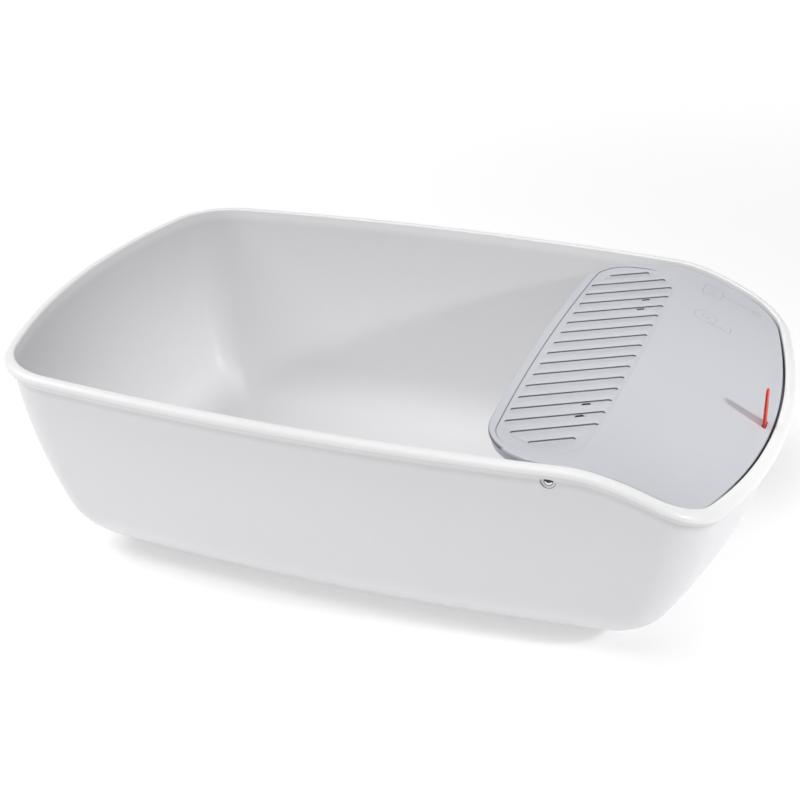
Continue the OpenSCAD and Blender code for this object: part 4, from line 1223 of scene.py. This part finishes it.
@dataclass
class Deck:
    """The hinged deck: skin and skirt, tread, ribs, snap saddles and the hooks for the loop's pin."""

    form: TubForm
    hinge: HingeLine
    tread: Tread = Tread()
    finish: DeckFinish = DeckFinish()
    edge_x: float = 110.5
    corner_r: float = 57.0
    drop: float = 3.0
    skin: float = 3.2
    skirt_h: float = 10.0
    skirt_t: float = 2.4
    skirt_step: float = 2.2
    side_gap: float = 4.6
    end_gap: float = 1.7
    edge_r: float = 1.3
    rib_y: tuple[float, ...] = (-150, -60, 60, 150)
    rib_x: tuple[float, ...] = (150, 200, 242)
    rib_depth: float = 9.0
    loop_x: float = 302.1
    loop_y: float = -10.0
    fit: float = 0.06
    saddle_wall: float = 3.2
    saddle_foot: float = 4.2
    saddle_mouth: float = 0.43
    saddle_l: float = 8.0
    hook_wall: float = 2.0
    hook_mouth: float = 0.42
    anchor_d: float = 3.4
    anchor_l: float = 26.0
    slot_w: float = 12.1
    slot_l: float = 3.4
    notch_y: float = 190.6
    strips: int = 34

    @property
    def top_z(self) -> float:
        """Height of the deck's level top."""
        return self.form.foot_out + self.form.height - self.drop

    @property
    def ramp_z(self) -> float:
        """Height of the deck's top at the loop."""
        return float(self.form.rim(self.loop_x)) - self.drop

    @property
    def anchor_z(self) -> float:
        """Height of the loop's pin."""
        return self.ramp_z - self.skin - self.anchor_d / 2 - 1.8

    def outline(self, inset: float) -> list:
        """Closed outline of the deck, drawn in by an inset."""
        t = self.form
        w, e = t.in_w - self.side_gap - inset, t.in_l - self.end_gap - inset
        rs, re = t.side_r - self.side_gap - inset, t.bay_end_r - self.end_gap - inset
        rc, rl, rf = t.bay_corner_r - self.end_gap - inset, self.corner_r - inset, self.tread.bow - inset
        s, c, f = (0.0, w - rs), (e - re, 0.0), (self.edge_x + self.tread.bow, 0.0)
        p, q = t.fillet(s, rs - rc, c, re - rc, 1), t.fillet(s, rs - rl, f, rf - rl, -1)
        a1, a2, a3, a4 = bearing(c, p), bearing(s, p), bearing(s, q), bearing(f, q)
        return closed(arc(c, re, 0, a1, 12, 0) + arc(p, rc, a1, a2, 16) + arc(s, rs, a2, a3, 40)
                      + arc(q, rl, a3, a4, 20) + arc(f, rf, a4, 180, 16))

    def half_width(self, x: float, inset: float) -> float:
        """Half width of the outline at x."""
        half = [p for p in self.outline(inset) if p[1] >= 0]
        return float(np.interp(-x, [-p[0] for p in half], [p[1] for p in half]))

    def reach(self, y: float, inset: float, hand: int = 1) -> float:
        """Where the outline crosses y: at the bay's end, or at the free edge if hand is -1."""
        half = sorted((b, a) for a, b in self.outline(inset) if b >= 0 and (a - self.hinge.x) * hand > 0)
        return float(np.interp(abs(y), [p[0] for p in half], [p[1] for p in half]))

    def bent(self, name: str, straight: Mesh, material: Material) -> Object:
        """Slice a level mesh across the ramp and let it follow the dip."""
        work = bmesh.new()
        work.from_mesh(straight)
        last = self.form.in_l
        for i in range(self.strips):
            x = mix(self.form.dip.start, last, i / self.strips)
            bmesh.ops.bisect_plane(work, geom=work.verts[:] + work.edges[:] + work.faces[:], dist=TOUCH,
                                   plane_co=(x * MM, 0, 0), plane_no=(1, 0, 0))
        work.to_mesh(straight)
        work.free()
        set_share(straight, [1.0] * len(straight.vertices))
        return self.form.dip.bend(name, straight, material)

    def rib(self, low: Point, high: Point) -> Mesh:
        """A rib between two corners given as x, y and depth under the top."""
        return block("rib", (low[0], low[1], self.top_z - high[2]), (high[0], high[1], self.top_z - low[2]))

    def ribs(self) -> list[Mesh]:
        """Ribs along and across the deck, from skirt to skirt."""
        inset, half = self.skirt_step + self.skirt_t / 2, self.skirt_t / 2
        made = []
        for y in self.rib_y:
            made.append(self.rib((self.reach(y, inset, -1), y - half, self.skin - 0.3),
                                 (self.reach(y, inset), y + half, self.rib_depth)))
        for x in self.rib_x:
            w = self.half_width(x, inset)
            made.append(self.rib((x, -w, self.skin - 0.3), (x + self.skirt_t, w, self.rib_depth)))
        return made

    def snap(self, half: float, top: float, foot: float, bore: float, mouth: float, x: float, z: float,
             y0: float, y1: float) -> Mesh:
        """A block open below that snaps over a rod, drawn round the rod's middle at (x, z)."""
        start = math.degrees(math.asin(-math.sqrt(bore * bore - mouth * mouth) / bore))
        ring = arc((0, 0), bore, start, 180 - start, 28, 0)
        loop = [(-half, foot), (-half, top), (half, top), (half, foot), (mouth, foot), *ring, (-mouth, foot)]
        return prism("snap", [(x + a, z + b) for a, b in loop], y0, y1, "Y")

    def fittings(self) -> Mesh:
        """Snap saddles for the rod and hooks for the loop's pin."""
        h, t = self.hinge, self.tread
        bore = h.rod_d / 2 + self.fit
        made = []
        for row in t.window_rows:
            y = t.line(row, h.x)
            made.append(self.snap(h.rod_d / 2 + self.saddle_wall, self.top_z - self.skin - h.z + 0.5,
                                  -self.saddle_foot, bore, self.saddle_mouth * h.rod_d, h.x, h.z,
                                  y - self.saddle_l / 2, y + self.saddle_l / 2))
        z = self.anchor_z
        for side in (-1, 1):
            y = self.loop_y + side * (self.anchor_l / 2 - 2)
            made.append(self.snap(self.anchor_d / 2 + self.hook_wall, self.ramp_z - self.skin / 2 - z,
                                  -self.anchor_d / 2, self.anchor_d / 2 + self.fit,
                                  self.hook_mouth * self.anchor_d, self.loop_x, z, y - 1, y + 1))
        return together("fittings", made)

    def windows(self) -> Mesh:
        """The shapes that open the windows over the hinge rod."""
        x, a = self.hinge.x, math.radians(self.tread.angle)
        corners = [(u * math.cos(a) - v * math.sin(a), u * math.sin(a) + v * math.cos(a))
                   for u, v in self.tread.window]
        return together("windows", [
            prism("window", [(x + p, self.tread.line(row, x) + q) for p, q in corners], self.hinge.z,
                  self.top_z + 4) for row in self.tread.window_rows])

    def build(self) -> Object:
        """Make the deck and hand it over."""
        coat = self.finish.make()
        r, step, foot = self.edge_r, self.skirt_step, self.skirt_step + self.skirt_t
        steps = [(r * (1 - s), r * (1 - c)) for s, c in quarter(7)]
        steps += [(0.0, self.skin - 0.3), (0.3, self.skin), (step, self.skin), (step, self.skirt_h - 0.4),
                  (step + 0.4, self.skirt_h), (foot - 0.4, self.skirt_h), (foot, self.skirt_h - 0.4),
                  (foot, self.skin)]
        shell = loft("shell", [[(x, y, self.top_z - depth) for x, y in self.outline(inset)]
                               for inset, depth in steps])
        deck = self.bent("deck_panel", shell, coat)
        cut(deck, self.tread.pocket())
        cut(deck, self.tread.grooves(coat))
        x, y, z, h = self.loop_x, self.loop_y, self.ramp_z, self.hinge
        along, across = self.slot_l / 2, self.slot_w / 2
        slot = block("slot", (x - along, y - across, z - 13), (x + along, y + across, z + 7))
        room = block("room", (x, y - across, z - 20), (x + 3.5, y + across, z - self.skin - 0.5))
        r = h.collar_d / 2 + 1
        notches = [lathe("notch", [(r, a), (r, b)], 48, "Y", (h.x, 0, h.z))
                   for a, b in ((-self.form.width, -self.notch_y), (self.notch_y, self.form.width))]
        cut(deck, together("openings", [self.windows(), slot, *notches]))
        cut(deck, room)
        parts = link("deck_fittings", self.fittings())
        cut(parts, self.windows())
        ribs = self.bent("deck_ribs", together("ribs", self.ribs()), coat)
        deck.data = together("deck_panel", [deck.data, parts.data, ribs.data])
        for spare in (parts, ribs):
            bpy.data.objects.remove(spare)
        return seat(deck, coat, Body.DECK, Slot.GREY, "deck")


@dataclass
class PullLoop:
    """Folded band that stands out of the deck's slot, with its plies parted a little near the top."""

    deck: Deck
    finish: Band = Band()
    width: float = 11.5
    top_w: float = 8.0
    height: float = 31.8
    thick: float = 0.85
    eye: float = 0.35
    edge: float = 0.35

    def line(self) -> list[tuple[float, float]]:
        """Middle line of the band in the XZ plane, round the pin and up to the fold."""
        x, z0, base = self.deck.loop_x, self.deck.anchor_z, self.deck.ramp_z
        half = (self.eye + self.thick) / 2
        pin = self.deck.anchor_d / 2 + 0.3 + self.thick / 2
        top = base + self.height - self.thick / 2 - half
        neck = base - self.deck.skin - 0.5
        left = [(x + a, z0 + b) for a, b in turned(pin, range(270, 145, -9))]
        left += [(x - half, neck), (x - half, neck + 1.5)]
        left += [(x - half, mix(neck + 1.5, top, i / 18)) for i in range(1, 19)]
        left += [(x + a, top + b) for a, b in turned(half, range(165, 89, -15))]
        return left + [(2 * x - a, b) for a, b in left[-2:0:-1]]

    def half_width(self, z: float) -> float:
        """Half width of the band at a height."""
        up, straight = z - self.deck.ramp_z, self.height - self.top_w / 2
        if up <= straight:
            return mix(self.width, self.top_w, max(0.0, up / straight)) / 2
        up = min(0.985, (up - straight) / (self.top_w / 2))
        return self.top_w / 2 * math.sqrt(1 - up * up)

    def build(self) -> Object:
        """Make the loop and hand it over."""
        path = np.array(self.line())
        ahead = np.roll(path, -1, 0) - np.roll(path, 1, 0)
        ahead /= np.linalg.norm(ahead, axis=1)[:, None]
        out = np.c_[-ahead[:, 1], ahead[:, 0]]
        e = self.thick / 2
        corner = [(e - self.edge, 1.0, 0.0), (e - 0.1, 1.0, -0.1), (e, 1.0, -self.edge)]
        section = []
        for sx, sy in ((1, 1), (-1, 1), (-1, -1), (1, -1)):
            quarter = corner if sx * sy < 0 else corner[::-1]
            section += [(sx * a, sy * b, sy * c) for a, b, c in quarter]
        rings = []
        for (x, z), (nx, nz) in zip(path, out):
            w = self.half_width(z)
            rings.append([(x + nx * a, self.deck.loop_y + w * b + c, z + nz * a) for a, b, c in section])
        band = link("pull_band", loft("pull_band", rings, True))
        return seat(band, self.finish.make(), Body.DECK, Slot.BAND, "pull_loop", sharp=50.0)


# ---- Small parts -----------------------------------------------------------------------------


def scatter(name: str, item: Mesh, places: Sequence[Point], turn: Point, twist: float,
            material: Material, seed: int) -> Object:
    """Set copies of a small part at given places by Geometry Nodes.

    Args:
        name: Name of the finished piece.
        item: The part, drawn round the origin.
        places: Where the copies go, in millimetres.
        turn: Rotation of every copy, in degrees.
        twist: Largest random turn round the part's own axis, in degrees.
        material: Its finish.
        seed: Seed of the random turns.

    Returns:
        One plain mesh of all copies.
    """
    part = link("part", item)
    net = Shaper("set_in_place")
    one = net.want("Part", "Object", part)
    lean = net.want("Turn", "Vector", tuple(math.radians(a) for a in turn))
    most = net.want("Twist", "Float", math.radians(twist))
    chance = net.want("Seed", "Int", seed)
    angle = net.add("FunctionNodeRandomValue", {"data_type": "FLOAT"},
                    {2: most * -1.0, 3: most, "Seed": chance}, 1)
    copies = net.copies(net.host, net.shape_of(one), lean)
    spun = net.add("GeometryNodeRotateInstances", None,
                   {"Instances": copies, "Rotation": net.join(Z=angle)})
    made = net.run(name, spun, material, plain(name, places))
    bpy.data.objects.remove(part)
    return made


@dataclass
class Bush:
    """White sleeve in a side wall, hand 1 at +Y, with a collar inside it."""

    form: TubForm
    hinge: HingeLine
    hand: int
    node: str
    finish: Moulding
    collar_t: float = 1.6
    gap: float = 0.06
    ease: float = 0.5
    turns: int = 56

    def build(self) -> Object:
        """Make the bush and hand it over."""
        h = self.hinge
        out = h.end_y(self.form)
        collar = h.wall_y(self.form, h.collar_d / 2, False) - self.gap
        bore, skin, rim, e = h.rod_d / 2 + self.gap, h.bush_d / 2 - self.gap, h.collar_d / 2, self.ease
        profile = [(bore, collar - self.collar_t), (rim - 0.3, collar - self.collar_t),
                   (rim, collar - self.collar_t + 0.3), (rim, collar), (skin, collar), (skin, out - e),
                   (skin - e * 0.3, out - e * 0.3), (skin - e, out), (bore + e, out),
                   (bore + e * 0.3, out - e * 0.3), (bore, out - e)]
        name = self.node + "_sleeve"
        sleeve = link(name, lathe(name, [(r, self.hand * y) for r, y in profile], self.turns, "Y",
                                  (h.x, 0, h.z), True))
        return seat(sleeve, self.finish.make(), Body.TUB, Slot.WHITE, self.node)


@dataclass
class HingeRod:
    """The blackened rod: grooved for its rings, with domed ends that show in the bushes."""

    hinge: HingeLine
    end_y: float
    ring_y: float = 189.6
    ring_t: float = 1.0
    groove: float = 0.6
    dome: float = 0.9
    play: float = 0.06
    finish: RodFinish = RodFinish()

    def build(self) -> Object:
        """Make the rod and hand it over."""
        r, a, b = self.hinge.rod_d / 2, self.ring_y - self.ring_t - self.play, self.ring_y + self.play
        half = [(r, a), (r - self.groove, a), (r - self.groove, b), (r, b), (r, self.end_y - self.dome)]
        half += [(r * math.sqrt(c), self.end_y - self.dome * (1 - s))
                 for c, s in turned(1.0, (15, 30, 45, 58, 70, 80, 87))]
        profile = [(q, -y) for q, y in reversed(half)] + half
        rod = link("hinge_pin", lathe("hinge_pin", profile, 40, "Y", (self.hinge.x, 0, self.hinge.z)))
        return seat(rod, self.finish.make(), Body.TUB, Slot.STEEL, "hinge_rod", sharp=28.0)


@dataclass
class Screws:
    """Pan-head screws with a cross recess, through the brackets into the bulkhead."""

    x: float = 191.6
    places: tuple[tuple[float, float], ...] = (
        (-109.6, 28.7), (-66.4, 28.7), (12.0, 68.4), (-17.3, 53.0), (-17.3, 65.0), (105.3, 53.0),
        (105.3, 65.0))
    head_d: float = 6.0
    head_edge: float = 0.45
    head_rise: float = 1.35
    cross_w: float = 0.8
    cross_z: float = 0.9
    shank_d: float = 3.0
    thread: float = 0.28
    tip: float = 0.7
    length: float = 5.1
    pitch: float = 0.8
    finish: Metal = Metal("bright_screws", lines=(1.0, 1.0, 1.0))

    def item(self) -> Mesh:
        """One screw along Z with the underside of its head at the origin."""
        core, crest, head = self.shank_d / 2 - self.thread, self.shank_d / 2, self.head_d / 2
        turns = int((self.length - 1.2) / self.pitch)
        profile = [(0.5, -self.length)]
        for i in range(turns + 1):
            z = -self.length + self.tip + i * self.pitch
            profile += [(core, z - 0.2), (crest, z)]
        profile += [(core, -0.3), (crest, 0.0), (head, 0.0), (head, self.head_edge)]
        profile += [(head * c, self.head_edge + self.head_rise * s)
                    for c, s in turned(1.0, (18, 36, 54, 70, 82))]
        screw = link("screw", lathe("screw", profile, 28))
        arm = self.head_d * 0.3
        for a, b in ((arm, self.cross_w / 2), (self.cross_w / 2, arm)):
            cut(screw, block("arm", (-a, -b, self.cross_z), (a, b, 3)))
        mesh = screw.data
        bpy.data.objects.remove(screw)
        return mesh

    def build(self) -> Object:
        """Make all screws and hand them over."""
        coat = self.finish.make()
        screws = scatter("bay_screw_set", self.item(), [(self.x, y, z) for y, z in self.places],
                         (0, 90, 0), 80, coat, 11)
        return seat(screws, coat, Body.TUB, Slot.STEEL, "bay_screws", sharp=40.0)


@dataclass
class Feet:
    """Rubber feet with ringed soles, pressed into their pockets."""

    places: tuple[tuple[float, float], ...]
    top_d: float = 22.0
    out: float = 1.0
    pocket: float = 1.2
    rings: int = 4
    ring_r: float = 1.2
    ring_pitch: float = 2.1
    ring_w: float = 1.8
    ring_depth: float = 0.3
    finish: Rubber = Rubber("foot_rubber")

    def build(self) -> Object:
        """Make the four feet and hand them over."""
        r, sole = self.top_d / 2, self.top_d / 2 - self.out
        profile = []
        for k in range(self.rings):
            a, b, d = self.ring_r + k * self.ring_pitch, self.ring_w, self.ring_depth
            profile += [(a, d), (a + d, 0.0), (a + b - d, 0.0), (a + b, d)]
        profile += [(sole - 0.6, 0.0), (sole, 0.12), (r, self.out), (r, self.out + self.pocket)]
        coat = self.finish.make()
        feet = scatter("sole_feet", lathe("foot", profile, 48), [(*p, 0.0) for p in self.places],
                       (0, 0, 0), 20, coat, 3)
        return seat(feet, coat, Body.TUB, Slot.FOOT, "rubber_feet")


@dataclass
class BagRoll:
    """Film wound in a flat spiral on the card core."""

    x: float = 247.0
    z: float = 59.0
    low: float = -7.0
    high: float = 95.0
    inner: float = 9.9
    outer: float = 20.0
    turns: float = 14.0
    film: float = 0.55
    finish: Film = Film()

    def build(self) -> Object:
        """Make the roll and hand it over."""
        coat = self.finish.make()
        net = Shaper("wound_film")
        turns, inner, outer, length = net.wants(
            "Float", Turns=self.turns, Inner=(self.inner + self.film / 2) * MM,
            Outer=(self.outer - self.film / 2) * MM, Length=(self.high - self.low) * MM)
        middle = net.want("Middle", "Vector", (self.x * MM, self.high * MM, self.z * MM))
        coil = net.add("GeometryNodeCurveSpiral", None, {
            "Resolution": 44, "Rotations": turns, "Start Radius": inner, "End Radius": outer, "Height": 0.0})
        edge = net.add("GeometryNodeCurveToMesh", None, {0: coil})
        sheet = net.add("GeometryNodeExtrudeMesh", {"mode": "EDGES"},
                        {"Mesh": edge, "Offset": net.join(Z=length)})
        stood = net.add("GeometryNodeTransform", None,
                        {"Geometry": sheet, "Translation": middle, "Rotation": (math.pi / 2, 0.0, 0.0)})
        roll = net.run("wound_bags", stood, coat)
        wall = roll.modifiers.new("wall", "SOLIDIFY")
        wall.thickness = self.film * MM
        wall.offset = 0.0
        settle(roll)
        outwards(roll.data)
        return seat(roll, coat, Body.ROLL, Slot.FILM, "bag_roll", sharp=50.0)


@dataclass
class Fittings:
    """The solids that keep their own shape and only take a finish."""

    white: Moulding = Moulding("white_fittings", srgb(234, 234, 236), 0.42)
    grey: Moulding = Moulding("grey_fittings", srgb(196, 200, 205), 0.46)
    grip: Rubber = Rubber("grip_rubber", srgb(74, 76, 80), stipple=1.6)
    bright: Metal = Metal("spring_steel")
    card: Card = Card()

    def build(self, nodes: dict[str, Object]) -> None:
        """Assign the finishes to the frame's own solids."""
        plan = {
            self.white: ("bulkhead", "scoop_shelf", "handle_clip", "front_bracket", "rear_bracket"),
            self.grey: ("scoop", "roll_spindle"),
            self.grip: ("scoop_grip",),
            self.bright: ("retaining_rings", "loop_anchor"),
            self.card: ("roll_core",),
        }
        for finish, names in plan.items():
            coat = finish.make()
            for name in names:
                for place in nodes[name].material_slots:
                    place.material = coat
                log.info("%s: %s", name, finish.name)


# ---- Studio ----------------------------------------------------------------------------------


@dataclass(frozen=True)
class Softbox:
    """One square area light."""

    name: str
    place: Point
    aim: Point
    size: float
    watts: float

    def light(self) -> Light:
        """Make the light itself."""
        data = bpy.data.lights.new(self.name, "AREA")
        data.size = self.size
        return data

    def hang(self) -> None:
        """Add it to the scene."""
        data = self.light()
        data.energy = self.watts
        lamp = bpy.data.objects.new(self.name, data)
        lamp.location = self.place
        lamp.rotation_euler = (Vector(self.aim) - Vector(self.place)).to_track_quat("-Z", "Y").to_euler()
        bpy.context.scene.collection.objects.link(lamp)


@dataclass(frozen=True)
class Snoot(Softbox):
    """A round lamp whose light is kept in a narrow cone."""

    cone: float = 18.0

    def light(self) -> Light:
        """Make the light itself."""
        data = bpy.data.lights.new(self.name, "SPOT")
        data.shadow_soft_size = self.size / 2
        data.spot_size = math.radians(self.cone)
        data.spot_blend = 1.0
        return data


@dataclass
class Studio:
    """Camera, pale floor and soft light."""

    place: Point = (0.4426, -1.2145, 0.787)
    yaw: float = -0.3566
    pitch: float = 0.4793
    roll: float = -0.0125
    focus_px: float = 1689.0
    frame_px: float = 800.0
    floor_w: float = 18000.0
    sky: float = 0.26
    boxes: tuple[Softbox, ...] = (
        Softbox("top", (0.0, 0.0, 2.4), (0.05, 0.0, 0.1), 1.8, 13.5),
        Softbox("front", (0.15, -1.0, 2.2), (0.05, 0.0, 0.1), 0.9, 9.0),
        Softbox("front_right", (0.9, -0.9, 2.2), (0.05, 0.0, 0.1), 0.8, 3.5),
        Snoot("key", (2.0, -0.28, 1.06), (0.3, 0.0, 0.15), 0.2, 78.0),
        Softbox("left", (-1.8, -0.3, 1.8), (0.05, 0.0, 0.1), 1.2, 24.0),
    )

    def camera(self) -> None:
        """Aim the camera by its bearings."""
        ahead = Vector((math.sin(self.yaw) * math.cos(self.pitch), math.cos(self.yaw) * math.cos(self.pitch),
                        -math.sin(self.pitch)))
        right = ahead.cross(Vector((0, 0, 1))).normalized()
        up = right.cross(ahead)
        c, s = math.cos(self.roll), math.sin(self.roll)
        data = bpy.data.cameras.new("camera")
        data.sensor_width = 36.0
        data.lens = self.focus_px / self.frame_px * data.sensor_width
        eye = bpy.data.objects.new("camera", data)
        turn = Matrix((c * right + s * up, c * up - s * right, -ahead)).transposed().to_4x4()
        eye.matrix_world = Matrix.Translation(self.place) @ turn
        bpy.context.scene.collection.objects.link(eye)
        bpy.context.scene.camera = eye

    def floor(self) -> None:
        """Lay the floor."""
        e = self.floor_w / 2
        corners = [(-e, -e, 0), (e, -e, 0), (e, e, 0), (-e, e, 0)]
        floor = link("floor", plain("floor", corners, [(0, 1, 2, 3)]))
        floor.data.materials.append(StudioFloor().make())

    def build(self) -> None:
        """Set everything up."""
        self.camera()
        self.floor()
        world = bpy.data.worlds.new("studio")
        world.use_nodes = True
        sky = world.node_tree.nodes["Background"]
        sky.inputs["Color"].default_value = (1.0, 1.0, 1.0, 1.0)
        sky.inputs["Strength"].default_value = self.sky
        bpy.context.scene.world = world
        bpy.context.scene.view_settings.view_transform = "Standard"
        for box in self.boxes:
            box.hang()


def main() -> None:
    """Dress the whole part."""
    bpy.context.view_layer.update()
    form, hinge = TubForm(), HingeLine()
    Studio().build()
    tub = TubShell(form, hinge)
    deck = Deck(form, hinge)
    sides = ((-1, "front_bush"), (1, "rear_bush"))
    parts: list[Part] = [tub, deck, PullLoop(deck), HingeRod(hinge, hinge.end_y(form))]
    parts += [Bush(form, hinge, hand, node, tub.finish) for hand, node in sides]
    parts += [Screws(), Feet(tub.feet), BagRoll()]
    for part in parts:
        part.build()
    Fittings().build(frame["nodes"])


if __name__ == "__main__":
    main()
